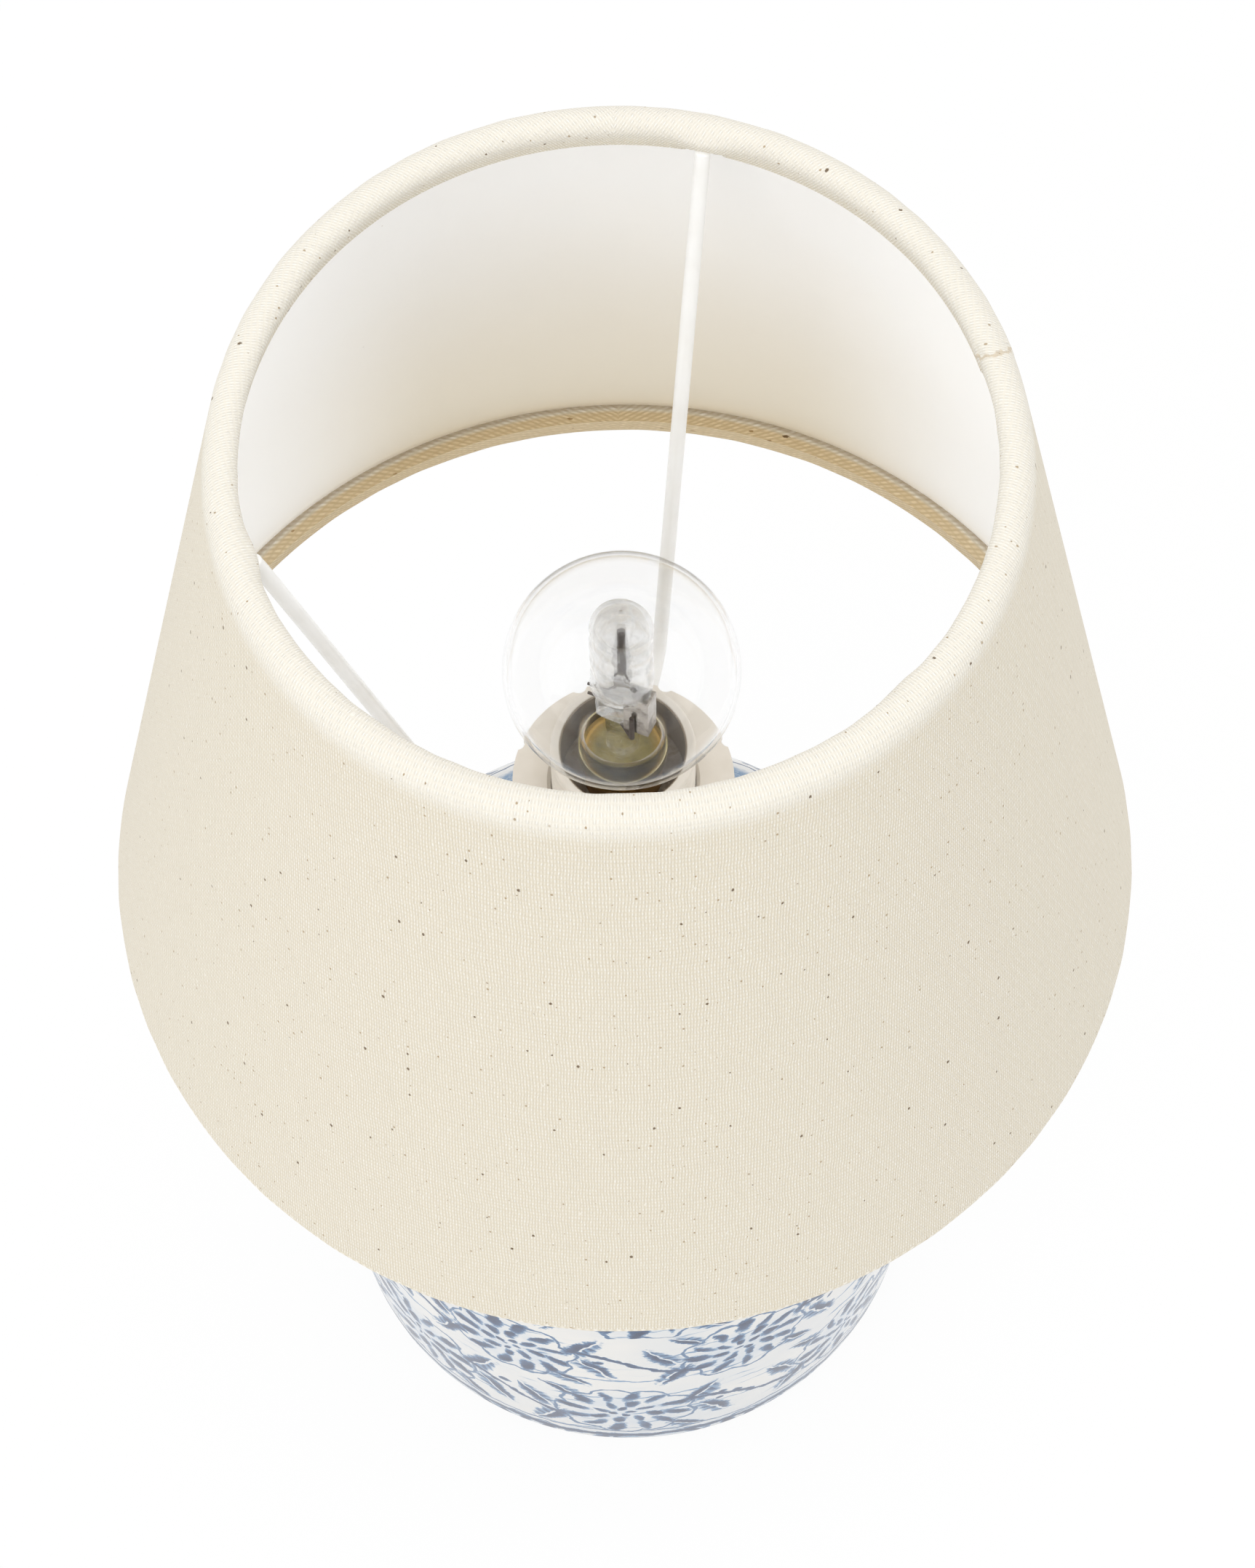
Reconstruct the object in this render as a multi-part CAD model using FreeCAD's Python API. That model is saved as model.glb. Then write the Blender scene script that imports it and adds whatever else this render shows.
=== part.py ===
"""Ginger jar table lamp with a tapered fabric shade, modelled in millimetres.

A glazed ceramic jar with a lid stands on a felt pad. A threaded rod runs through both and
clamps them between a nut in the foot and the cap of a small screw lampholder. A clear
round bulb screws into the lampholder, and the shade's three-armed frame sits on it between
two threaded rings.

+Z is up, and the origin is the middle of the felt pad's underside. -Y is the front. Turned
pieces are drawn as outlines of (radius, height) points.
"""

import FreeCAD, Part
import math
import os

Vector = FreeCAD.Vector

# ---- Ceramic jar -------------------------------------------------------------------------
felt_thickness = 1.5
felt_inset = 0.5            # the felt stops this far inside the foot's flat
belly_radius = 66.7
belly_height = 82.5         # from the foot to the widest point
foot_inset = 4.1            # the foot is this much narrower than the belly
foot_rounding = 2.5
foot_ring_width = 8.0
shoulder_height = 36.0
neck_radius = 30.0
neck_height = 12.0
neck_fillet = 3.0
jar_wall = 5.0
jar_floor = 6.0

# ---- Jar lid -----------------------------------------------------------------------------
lid_clearance = 0.6         # between the neck and the skirt round it
lid_wall = 4.5
lid_skirt = 8.0             # how far the skirt hangs below the neck's rim
lid_side = 5.0              # upright side above the neck's rim
lid_dome = 16.0             # from the top of the side to the flat crown
lid_crown_radius = 14.0
lid_edge_rounding = 1.5

# ---- Threaded rod and what it clamps -----------------------------------------------------
rod_radius = 5.0
rod_bore_radius = 3.6
rod_hole_clearance = 0.4
rod_below_nut = 2.0
thread_gap = 0.05           # radial, between threaded pieces that stay put
cushion_radius = 20.0
cushion_thickness = 1.5
base_washer_radius = 17.0
base_washer_thickness = 1.5
base_nut_flats = 14.0
base_nut_height = 4.5
lid_washer_radius = 13.0
lid_washer_thickness = 1.2
lid_washer_rounding = 0.5
sleeve_radius = 7.0
sleeve_length = 19.8

# ---- Cord bush in the foot, at the back --------------------------------------------------
bush_bore_radius = 3.3
bush_barrel_radius = 4.6
bush_flange_radius = 6.3
bush_flange_thickness = 1.8
bush_flange_rounding = 0.6
bush_lip_radius = 5.3
bush_lip_thickness = 1.4
bush_clearance = 0.2        # round the barrel and the flange, and behind the lip
bush_seat_depth = 1.0       # depth of the flat that the flange sits on
bush_margin = 2.0           # clear height above and below the flange inside the foot

# ---- Lampholder --------------------------------------------------------------------------
barrel_radius = 13.75
barrel_length = 34.0
barrel_bore_radius = 11.8
barrel_rounding = 0.6
holder_cap_height = 19.0
holder_boss_radius = 7.5
holder_boss_height = 4.0
holder_flare_height = 8.0
holder_thread_depth = 8.0
holder_cap_wall = 1.5
spigot_length = 4.5
spigot_wall = 1.8
spigot_gap = 0.05
ledge_height = 2.0          # the ledge that carries the insert, above the barrel's end
insert_gap = 0.1
insert_tail = 8.5           # insert below the ledge
insert_floor = 4.0          # insert between the ledge and the floor of its cup
insert_cup_depth = 16.0
shell_wall = 0.4
shell_drop = 4.0            # the screw shell's edge below the barrel's mouth
shell_flange_width = 2.8
tongue_width = 3.6
tongue_thickness = 0.4
tongue_foot = 2.4
tongue_tip = 1.6
contact_gap = 0.2           # between the tongue and the bulb's contact
terminal_width = 6.0
terminal_depth = 4.2
terminal_height = 6.5
terminal_gap = 0.1
terminal_spacing = 11.0     # between the centres of the two blocks
terminal_screw_radius = 1.5
terminal_screw_head_radius = 1.9
terminal_screw_head_height = 1.0
terminal_screw_length = 4.0
grub_screw_radius = 1.25
grub_screw_proud = 0.2

# ---- Shade rings on the lampholder -------------------------------------------------------
fitter_height = 15.3        # the fitter's underside above the barrel's lower end
fitter_radius = 21.0
fitter_thickness = 1.5
fitter_clearance = 0.3
turning_gap = 0.2           # between faces that slide as the shade or a ring turns
turning_thread_gap = 0.1    # radial, between a thread and a ring that turns on it
seat_flange_radius = 19.0
seat_flange_thickness = 1.8
seat_collar_radius = 16.2
seat_collar_height = 8.3
seat_groove_radius = 0.7
seat_groove_count = 20
clamp_flange_radius = 21.2
clamp_flange_thickness = 2.2
clamp_spigot_radius = 15.2
clamp_countersink = 0.8
clamp_notch_radius = 1.6
clamp_notch_count = 8

# ---- Shade -------------------------------------------------------------------------------
shade_radius_bottom = 100.0
shade_radius_top = 69.6
shade_height = 163.0
fitter_drop = 30.0          # the fitter's underside above the shade's lower edge
cover_thickness = 0.7
lining_thickness = 0.5
lining_gap = 0.05
top_hem_thickness = 6.0
top_hem_height = 7.0
bottom_hem_thickness = 5.0
bottom_hem_height = 7.5
ring_wire_radius = 1.5
ring_wire_gap = 0.15
arm_radius = 1.45
arm_knee_radius = 29.5      # how far out the arms turn up
arm_bend_radius = 6.0
arm_past_ring = 0.8
arm_notch_clearance = 0.8
weld_gap = 0.05
arm_bearing_degrees = {"arm_back": 14.0, "arm_right": 134.0, "arm_left": 254.0}  # from +Y to +X

# ---- Bulb --------------------------------------------------------------------------------
bulb_radius = 21.9
bulb_centre_above_cap = 30.5
bulb_neck_radius = 8.05
bulb_neck_straight = 4.0    # straight neck above the cap
bulb_neck_in_cap = 2.5      # the neck and the stem start this far down in the cap
bulb_glass_thickness = 0.8
cap_above_mouth = 1.5       # how far the bulb's cap stands out of the barrel
cap_thread_radius = 6.95
cap_thickness = 0.3
cap_gap = 0.05
cap_skirt_height = 3.0
cap_flare_height = 1.8
cap_toe_radius = 5.2
cap_toe_height = 1.6
cap_thread_length = 17.0
insulator_height = 2.0
insulator_inside = 3.0
insulator_tip_radius = 2.9
contact_radius = 2.5
contact_height = 0.7
stem_flare_radius = 6.8
stem_flare_height = 5.0
stem_tube_radius = 3.0
stem_tube_height = 2.5
stem_wall = 0.8
stem_pinch_width = 7.0
stem_pinch_thickness = 2.4
stem_pinch_height = 3.0
burner_above_stem = 2.5     # clear height between the stem's pinch and the burner's
burner_radius = 6.0
burner_glass_thickness = 1.0
burner_pinch_width = 11.0
burner_pinch_thickness = 2.6
burner_pinch_height = 12.0
burner_tube_length = 21.0
burner_dome_height = 3.5
burner_tip_radius = 1.1
burner_tip_height = 1.3
burner_lean = 8.0           # degrees back from upright
burner_turn = -25.0         # degrees about Z
clip_thickness = 0.4
clip_gap = 0.15
clip_height = 10.0
clip_reach = 5.0
support_wire_radius = 0.5
support_knee_drop = 1.2     # the wire's bend below the clip
lead_radius = 0.3
lead_length = 4.5
lead_spacing = 3.0
lead_depth = 3.0            # how deep the leads are held in the pinch
filament_radius = 0.8
filament_length = 13.0
filament_leg_radius = 0.2
filament_leg_spacing = 3.0
filament_leg_above_pinch = 2.0

# ---- Heights, from the table up ----------------------------------------------------------
recess_depth = 2 * (bush_flange_radius + bush_margin)
bush_height = felt_thickness + bush_margin + bush_flange_radius
floor_under = felt_thickness + recess_depth
floor_top = floor_under + jar_floor
belly_z = felt_thickness + belly_height
shoulder_top = belly_z + shoulder_height
neck_top = shoulder_top + neck_height
lid_side_top = neck_top + lid_side
lid_top = lid_side_top + lid_dome
sleeve_bottom = lid_top + lid_washer_thickness
holder_bottom = sleeve_bottom + sleeve_length
barrel_bottom = holder_bottom + holder_cap_height
mouth = barrel_bottom + barrel_length
ledge = barrel_bottom + ledge_height
cup_floor = ledge + insert_floor
shell_top = mouth - shell_drop
base_nut_bottom = floor_under - cushion_thickness - base_washer_thickness - base_nut_height
fitter_bottom = barrel_bottom + fitter_height
fitter_top = fitter_bottom + fitter_thickness
seat_top = fitter_bottom - turning_gap
clamp_bottom = fitter_top + turning_gap
shade_bottom = fitter_bottom - fitter_drop
shade_top = shade_bottom + shade_height
cap_top = mouth + cap_above_mouth
cap_skirt_bottom = cap_top - cap_skirt_height
cap_thread_top = cap_skirt_bottom - cap_flare_height
cap_bottom = cap_thread_top - cap_thread_length - cap_toe_height
contact_tip = cap_bottom - insulator_height - contact_height
bulb_centre = cap_top + bulb_centre_above_cap
stem_bottom = cap_top - bulb_neck_in_cap
stem_flare_top = stem_bottom + stem_flare_height
stem_tube_top = stem_flare_top + stem_tube_height
stem_top = stem_tube_top + stem_pinch_height
burner_bottom = stem_top + burner_above_stem

# ---- Radii that follow from them ---------------------------------------------------------
foot_radius = belly_radius - foot_inset
recess_radius = foot_radius - foot_ring_width
rod_hole_radius = rod_radius + rod_hole_clearance
shell_bore_radius = cap_thread_radius + turning_thread_gap
shell_radius = shell_bore_radius + shell_wall
cap_skirt_radius = bulb_neck_radius + cap_gap + cap_thickness


def point(radius, height):
    """A point of an outline, in the XZ plane."""
    return Vector(radius, 0, height)


class Outline:
    """A closed outline of (radius, height) points, drawn edge by edge."""

    def __init__(self, radius, height):
        self.first = point(radius, height)
        self.last = self.first
        self.edges = []

    def line(self, radius, height):
        """A straight edge to a point."""
        end = point(radius, height)
        self.edges.append(Part.LineSegment(self.last, end).toShape())
        self.last = end
        return self

    def arc(self, middle, end):
        """A round edge through one (radius, height) pair to another."""
        finish = point(*end)
        self.edges.append(Part.Arc(self.last, point(*middle), finish).toShape())
        self.last = finish
        return self

    def quarter(self, radius, height, upright_first):
        """A quarter of an ellipse that leaves upright and arrives level, or the reverse."""
        end = point(radius, height)
        ease = 4 * (math.sqrt(2) - 1) / 3
        rise = Vector(0, 0, (end.z - self.last.z) * ease)
        run = Vector((end.x - self.last.x) * ease, 0, 0)
        leave, arrive = (rise, run) if upright_first else (run, rise)
        curve = Part.BezierCurve()
        curve.setPoles([self.last, self.last + leave, end - arrive, end])
        self.edges.append(curve.toShape())
        self.last = end
        return self

    def face(self):
        """The closed outline as a flat face."""
        if not self.last.isEqual(self.first, 1e-6):
            self.edges.append(Part.LineSegment(self.last, self.first).toShape())
        return Part.Face(Part.Wire(self.edges))

    def turned(self):
        """The solid that the outline makes when it is turned about the Z axis."""
        return self.face().revolve(Vector(0, 0, 0), Vector(0, 0, 1), 360)


def tube(outer, inner, bottom, top):
    """A plain upright tube."""
    outline = Outline(inner, bottom).line(outer, bottom).line(outer, top).line(inner, top)
    return outline.turned()


def rod(radius, start, end):
    """A round rod between two points."""
    along = end.sub(start)
    return Part.makeCylinder(radius, along.Length, start, along)


def block(width, depth, height, centre_x, centre_y, bottom):
    """An upright box centred in plan."""
    corner = Vector(centre_x - width / 2, centre_y - depth / 2, bottom)
    return Part.makeBox(width, depth, height, corner)


def rounded(shape, radius, edge_radius, height):
    """Rounds the level, round edges that have a given radius and height."""
    picked = []
    for edge in shape.Edges:
        if not isinstance(edge.Curve, Part.Circle):
            continue
        same_radius = abs(edge.Curve.Radius - edge_radius) < 1e-4
        same_height = abs(edge.Curve.Center.z - height) < 1e-4
        if same_radius and same_height:
            picked.append(edge)
    return shape.makeFillet(radius, picked)


def ring_of(tool, count, first_degrees=0.0):
    """Copies of a tool spread evenly round the Z axis, as one compound."""
    copies = []
    for index in range(count):
        copy = tool.copy()
        turn = first_degrees + 360.0 * index / count
        copy.rotate(Vector(0, 0, 0), Vector(0, 0, 1), turn)
        copies.append(copy)
    return Part.makeCompound(copies)


# ---- Jar ---------------------------------------------------------------------------------
def belly_at(height, inset=0.0):
    """The radius of the belly's long arc at a height, or of one set inside it."""
    arc_radius = (foot_inset ** 2 + belly_height ** 2) / (2 * foot_inset)
    across = math.sqrt((arc_radius - inset) ** 2 - (belly_z - height) ** 2)
    return belly_radius - arc_radius + across


def felt_pad():
    """The felt disc under the foot."""
    radius = foot_radius - foot_rounding - felt_inset
    return Part.makeCylinder(radius, felt_thickness)


def jar_body():
    """The hollow jar: footed, nearly straight-sided, with a round shoulder and a neck."""
    middle = (felt_thickness + belly_z) / 2
    outside = Outline(0, felt_thickness).line(foot_radius, felt_thickness)
    outside.arc((belly_at(middle), middle), (belly_radius, belly_z))
    outside.quarter(neck_radius, shoulder_top, upright_first=True)
    outside.line(neck_radius, neck_top).line(0, neck_top)
    jar = outside.turned()
    jar = rounded(jar, foot_rounding, foot_radius, felt_thickness)
    jar = rounded(jar, neck_fillet, neck_radius, shoulder_top)

    middle = (floor_top + belly_z) / 2
    hollow = Outline(0, floor_top).line(belly_at(floor_top, jar_wall), floor_top)
    hollow.arc((belly_at(middle, jar_wall), middle), (belly_radius - jar_wall, belly_z))
    hollow.quarter(neck_radius, shoulder_top - jar_wall, upright_first=True)
    hollow.line(neck_radius - jar_wall, shoulder_top - jar_wall)
    hollow.line(neck_radius - jar_wall, neck_top).line(0, neck_top)
    jar = jar.cut(hollow.turned())

    recess = Part.makeCylinder(recess_radius, recess_depth, Vector(0, 0, felt_thickness))
    rod_hole = Part.makeCylinder(rod_hole_radius, jar_floor, Vector(0, 0, floor_under))
    return jar.cut([recess, rod_hole, bush_hole()])


def bush_hole():
    """The hole for the cord bush, with a flat seat for its flange."""
    start = Vector(0, 0, bush_height)
    back = Vector(0, belly_radius, bush_height)
    seat = Vector(0, foot_radius - bush_seat_depth, bush_height)
    hole = rod(bush_barrel_radius + bush_clearance, start, back)
    return hole.fuse(rod(bush_flange_radius + bush_clearance, seat, back))


def cord_bush():
    """The bush that the cord enters by: a flange outside, a barrel, and a lip inside."""
    seat = foot_radius - bush_seat_depth
    inner_wall = math.sqrt(recess_radius ** 2 - bush_lip_radius ** 2)
    lip_end = inner_wall - bush_clearance
    front = seat + bush_flange_thickness
    outline = Outline(bush_bore_radius, lip_end - bush_lip_thickness)
    outline.line(bush_barrel_radius, lip_end - bush_lip_thickness)
    outline.line(bush_lip_radius, lip_end).line(bush_barrel_radius, lip_end)
    outline.line(bush_barrel_radius, seat).line(bush_flange_radius, seat)
    outline.line(bush_flange_radius, front).line(bush_bore_radius, front)
    bush = rounded(outline.turned(), bush_flange_rounding, bush_flange_radius, front)
    bush.rotate(Vector(0, 0, 0), Vector(1, 0, 0), -90)
    bush.translate(Vector(0, 0, bush_height))
    return bush


def jar_lid():
    """The domed lid, whose skirt fits over the neck."""
    skirt_inside = neck_radius + lid_clearance
    skirt_outside = skirt_inside + lid_wall
    skirt_bottom = neck_top - lid_skirt
    ceiling = lid_top - lid_wall
    outline = Outline(skirt_inside, skirt_bottom).line(skirt_outside, skirt_bottom)
    outline.line(skirt_outside, lid_side_top)
    outline.quarter(lid_crown_radius, lid_top, upright_first=True)
    outline.line(rod_hole_radius, lid_top).line(rod_hole_radius, ceiling)
    outline.line(lid_crown_radius - lid_wall, ceiling)
    outline.quarter(neck_radius - jar_wall, neck_top, upright_first=False)
    outline.line(skirt_inside, neck_top)
    return rounded(outline.turned(), lid_edge_rounding, skirt_outside, skirt_bottom)


# ---- Rod, washers and nut ----------------------------------------------------------------
def lamp_rod():
    """The threaded tube that clamps the jar and lid, and carries the wires inside."""
    top = holder_bottom + holder_thread_depth - contact_gap
    return tube(rod_radius, rod_bore_radius, base_nut_bottom - rod_below_nut, top)


def cushion_washer():
    """The soft washer against the ceramic floor."""
    bottom = floor_under - cushion_thickness
    return tube(cushion_radius, rod_hole_radius, bottom, floor_under)


def base_washer():
    """The steel washer that spreads the nut's pull."""
    top = floor_under - cushion_thickness
    return tube(base_washer_radius, rod_hole_radius, top - base_washer_thickness, top)


def base_nut():
    """The hexagon nut at the rod's lower end."""
    corner = base_nut_flats / math.sqrt(3)
    points = []
    for index in range(7):
        turn = math.radians(60 * index)
        points.append(Vector(corner * math.cos(turn), corner * math.sin(turn), base_nut_bottom))
    hexagon = Part.Face(Part.makePolygon(points))
    nut = hexagon.extrude(Vector(0, 0, base_nut_height))
    hole_radius = rod_radius + thread_gap
    return nut.cut(Part.makeCylinder(hole_radius, base_nut_height, Vector(0, 0, base_nut_bottom)))


def lid_washer():
    """The washer between the lid's crown and the sleeve."""
    washer = tube(lid_washer_radius, rod_hole_radius, lid_top, sleeve_bottom)
    return rounded(washer, lid_washer_rounding, lid_washer_radius, sleeve_bottom)


def neck_sleeve():
    """The sleeve round the rod that holds the lampholder above the lid."""
    return tube(sleeve_radius, rod_hole_radius, sleeve_bottom, holder_bottom)


# ---- Lampholder --------------------------------------------------------------------------
def holder_cap():
    """The lampholder's lower half: a boss on the rod that flares to the barrel's width."""
    boss_top = holder_bottom + holder_boss_height
    flare_top = boss_top + holder_flare_height
    thread_top = holder_bottom + holder_thread_depth
    inside = barrel_radius - holder_cap_wall
    bore = rod_radius + thread_gap
    outline = Outline(bore, holder_bottom).line(holder_boss_radius, holder_bottom)
    outline.line(holder_boss_radius, boss_top)
    outline.quarter(barrel_radius, flare_top, upright_first=False)
    outline.line(barrel_radius, barrel_bottom).line(inside, barrel_bottom)
    outline.line(inside, flare_top)
    outline.quarter(holder_boss_radius, thread_top, upright_first=True)
    outline.line(bore, thread_top)
    return outline.turned().cut(grub_screw_hole())


def grub_screw_hole():
    """The threaded side hole in the cap's boss."""
    height = holder_bottom + holder_boss_height / 2
    start = Vector(0, rod_radius, height)
    end = Vector(0, barrel_radius, height)
    return rod(grub_screw_radius + thread_gap, start, end)


def grub_screw():
    """The small screw that stops the lampholder turning on the rod."""
    height = holder_bottom + holder_boss_height / 2
    start = Vector(0, rod_radius + weld_gap, height)
    end = Vector(0, holder_boss_radius + grub_screw_proud, height)
    return rod(grub_screw_radius, start, end)


def holder_body():
    """The lampholder's barrel, with a spigot in the cap and a ledge for the insert."""
    spigot_radius = barrel_radius - holder_cap_wall - spigot_gap
    spigot_inside = spigot_radius - spigot_wall
    spigot_bottom = barrel_bottom - spigot_length
    outline = Outline(spigot_inside, spigot_bottom).line(spigot_radius, spigot_bottom)
    outline.line(spigot_radius, barrel_bottom).line(barrel_radius, barrel_bottom)
    outline.line(barrel_radius, mouth).line(barrel_bore_radius, mouth)
    outline.line(barrel_bore_radius, ledge).line(spigot_inside, ledge)
    return rounded(outline.turned(), barrel_rounding, barrel_radius, mouth)


def terminal_places():
    """The places of the two terminals in plan, and the height of their lower faces."""
    bottom = ledge - insert_tail
    return [(side * terminal_spacing / 2, 0.0, bottom) for side in (-1, 1)]


def contact_insert():
    """The moulded insert: a tail with two terminal pockets, and a cup round the shell."""
    tail_radius = barrel_radius - holder_cap_wall - spigot_gap - spigot_wall - insert_gap
    cup_radius = barrel_bore_radius - insert_gap
    cup_inside = shell_radius + thread_gap
    cup_top = cup_floor + insert_cup_depth
    outline = Outline(0, ledge - insert_tail).line(tail_radius, ledge - insert_tail)
    outline.line(tail_radius, ledge).line(cup_radius, ledge).line(cup_radius, cup_top)
    outline.line(cup_inside, cup_top).line(cup_inside, cup_floor).line(0, cup_floor)
    insert = outline.turned()
    for x, y, bottom in terminal_places():
        width = terminal_width + 2 * terminal_gap
        depth = terminal_depth + 2 * terminal_gap
        height = terminal_height + terminal_gap
        insert = insert.cut(block(width, depth, height, x, y, bottom))
    return insert


def terminal_blocks():
    """Two brass blocks, each with a hole for its wire and one for its screw."""
    blocks = []
    for x, y, bottom in terminal_places():
        piece = block(terminal_width, terminal_depth, terminal_height, x, y, bottom)
        hole_bottom = Vector(x, y, bottom)
        screw_hole_radius = terminal_screw_radius + thread_gap
        screw_hole = Part.makeCylinder(screw_hole_radius, terminal_screw_length, hole_bottom)
        blocks.append(piece.cut(screw_hole))
    return Part.makeCompound(blocks)


def terminal_screws():
    """Two cheese-head screws that hold the wires in the terminal blocks."""
    screws = []
    for x, y, bottom in terminal_places():
        under_head = Vector(x, y, bottom - terminal_screw_head_height)
        head = Part.makeCylinder(
            terminal_screw_head_radius, terminal_screw_head_height, under_head)
        shank = Part.makeCylinder(
            terminal_screw_radius, terminal_screw_length - thread_gap, Vector(x, y, bottom))
        screws.append(head.fuse(shank))
    return Part.makeCompound(screws)


def screw_shell():
    """The brass shell that the bulb screws into, with a flange under it."""
    flange_inside = shell_bore_radius - shell_flange_width
    flange_top = cup_floor + shell_wall
    outline = Outline(flange_inside, cup_floor).line(shell_radius, cup_floor)
    outline.line(shell_radius, shell_top).line(shell_bore_radius, shell_top)
    outline.line(shell_bore_radius, flange_top).line(flange_inside, flange_top)
    return outline.turned()


def centre_contact():
    """The sprung tongue that rises from the insert to the bulb's centre contact."""
    reach = shell_bore_radius - shell_flange_width - tongue_thickness
    top = contact_tip - contact_gap
    side = [
        (-reach, cup_floor),
        (-reach + tongue_foot, cup_floor),
        (tongue_tip, top - tongue_thickness),
        (reach, top - 2 * tongue_thickness),
        (reach, top - tongue_thickness),
        (tongue_tip, top),
        (-tongue_tip / 2, top - tongue_thickness),
        (-reach + tongue_foot - tongue_thickness, cup_floor + tongue_thickness),
        (-reach, cup_floor + tongue_thickness),
    ]
    points = [Vector(x, -tongue_width / 2, z) for x, z in side]
    outline = Part.Face(Part.makePolygon(points + points[:1]))
    return outline.extrude(Vector(0, tongue_width, 0))


# ---- Rings that hold the shade -----------------------------------------------------------
def seat_ring():
    """The lower threaded ring, with a grooved collar, that the shade's fitter rests on."""
    flange_bottom = seat_top - seat_flange_thickness
    collar_bottom = flange_bottom - seat_collar_height
    bore = barrel_radius + thread_gap
    outline = Outline(bore, collar_bottom).line(seat_collar_radius, collar_bottom)
    outline.line(seat_collar_radius, flange_bottom).line(seat_flange_radius, flange_bottom)
    outline.line(seat_flange_radius, seat_top).line(bore, seat_top)
    groove = Part.makeCylinder(
        seat_groove_radius, seat_collar_height, Vector(seat_collar_radius, 0, collar_bottom))
    return outline.turned().cut(ring_of(groove, seat_groove_count))


def clamp_ring():
    """The upper threaded ring, whose flange holds the fitter down and spigot centres it."""
    bore = barrel_radius + turning_thread_gap
    spigot_bottom = fitter_bottom + turning_gap
    top = clamp_bottom + clamp_flange_thickness
    outline = Outline(bore, spigot_bottom).line(clamp_spigot_radius, spigot_bottom)
    outline.line(clamp_spigot_radius, clamp_bottom).line(clamp_flange_radius, clamp_bottom)
    outline.line(clamp_flange_radius, top).line(bore + clamp_countersink, top)
    outline.line(bore, top - clamp_countersink)
    notch_place = Vector(clamp_flange_radius + clamp_notch_radius / 2, 0, clamp_bottom)
    notch = Part.makeCylinder(clamp_notch_radius, clamp_flange_thickness, notch_place)
    half_step = 180.0 / clamp_notch_count
    return outline.turned().cut(ring_of(notch, clamp_notch_count, half_step))


# ---- Shade frame -------------------------------------------------------------------------
def shade_at(height, inset=0.0):
    """The shade's outer radius at a height, less a level inset."""
    share = (height - shade_bottom) / shade_height
    return shade_radius_bottom + (shade_radius_top - shade_radius_bottom) * share - inset


def top_ring_centre():
    """The (radius, height) of the upper ring wire's middle."""
    height = shade_top - top_hem_thickness / 2
    return shade_at(height, top_hem_thickness / 2), height


def bottom_ring_centre():
    """The (radius, height) of the lower ring wire's middle."""
    height = shade_bottom + bottom_hem_thickness / 2
    return shade_at(height, bottom_hem_thickness / 2), height


def fitter_ring():
    """The washer at the middle of the frame that fits round the lampholder."""
    hole = clamp_spigot_radius + fitter_clearance
    return tube(fitter_radius, hole, fitter_bottom, fitter_top)


def wire_ring(centre):
    """One of the two wire rings."""
    radius, height = centre
    return Part.makeTorus(radius, ring_wire_radius, Vector(0, 0, height))


def arm_path():
    """The arm's centre line in the XZ plane: level, a bend, and straight up to the ring."""
    level = fitter_top - arm_radius
    knee = point(arm_knee_radius, level)
    ring_radius, ring_height = top_ring_centre()
    to_ring = point(ring_radius, ring_height).sub(knee)
    beside = arm_radius + ring_wire_radius + weld_gap
    lean = math.atan2(to_ring.x, to_ring.z) - math.asin(beside / to_ring.Length)
    up = Vector(math.sin(lean), 0, math.cos(lean))
    turn = math.pi / 2 - lean
    tangent = arm_bend_radius * math.tan(turn / 2)
    bend_start = knee.sub(Vector(tangent, 0, 0))
    bend_end = knee.add(up * tangent)
    centre = bend_start.add(Vector(0, 0, arm_bend_radius))
    half = turn / 2
    bend_middle = centre.add(Vector(math.sin(half), 0, -math.cos(half)) * arm_bend_radius)
    start = point(clamp_spigot_radius, level)
    end = knee.add(up * ((ring_height + arm_past_ring - level) / math.cos(lean)))
    return [
        Part.LineSegment(start, bend_start).toShape(),
        Part.Arc(bend_start, bend_middle, bend_end).toShape(),
        Part.LineSegment(bend_end, end).toShape(),
    ]


def arm_solid(radius):
    """A round bar of a given radius along the arm's centre line, in the XZ plane."""
    edges = arm_path()
    start = edges[0].firstVertex().Point
    circle = Part.Wire(Part.Circle(start, Vector(1, 0, 0), radius).toShape())
    return Part.Wire(edges).makePipeShell([circle], True, False)


def placed_arm(solid, bearing):
    """An arm turned to its bearing, measured from +Y towards +X."""
    arm = solid.copy()
    arm.rotate(Vector(0, 0, 0), Vector(0, 0, 1), 90 - bearing)
    return arm


def frame_arm(bearing):
    """An enamelled arm, butted to the fitter's rim and welded inside the upper ring."""
    fitter_space = Part.makeCylinder(fitter_radius, shade_height, Vector(0, 0, shade_bottom))
    return placed_arm(arm_solid(arm_radius).cut(fitter_space), bearing)


# ---- Shade fabric ------------------------------------------------------------------------
def skin(inset, thickness):
    """A tapered skin between the two hems, set in from the shade's outer face."""
    bottom = shade_bottom + bottom_hem_height
    top = shade_top - top_hem_height
    outline = Outline(shade_at(bottom, inset + thickness), bottom)
    outline.line(shade_at(bottom, inset), bottom).line(shade_at(top, inset), top)
    outline.line(shade_at(top, inset + thickness), top)
    return outline.turned()


def hem(edge, inward, thickness, height):
    """The rolled fabric at a rim. inward is -1 if the shade lies below it, and 1 if above."""
    full = edge + inward * height
    start_of_round = edge + inward * thickness / 2
    outline = Outline(shade_at(full, thickness), full).line(shade_at(full), full)
    outline.line(shade_at(start_of_round), start_of_round)
    outline.arc(
        (shade_at(edge, thickness / 2), edge),
        (shade_at(start_of_round, thickness), start_of_round))
    return outline.turned()


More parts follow.
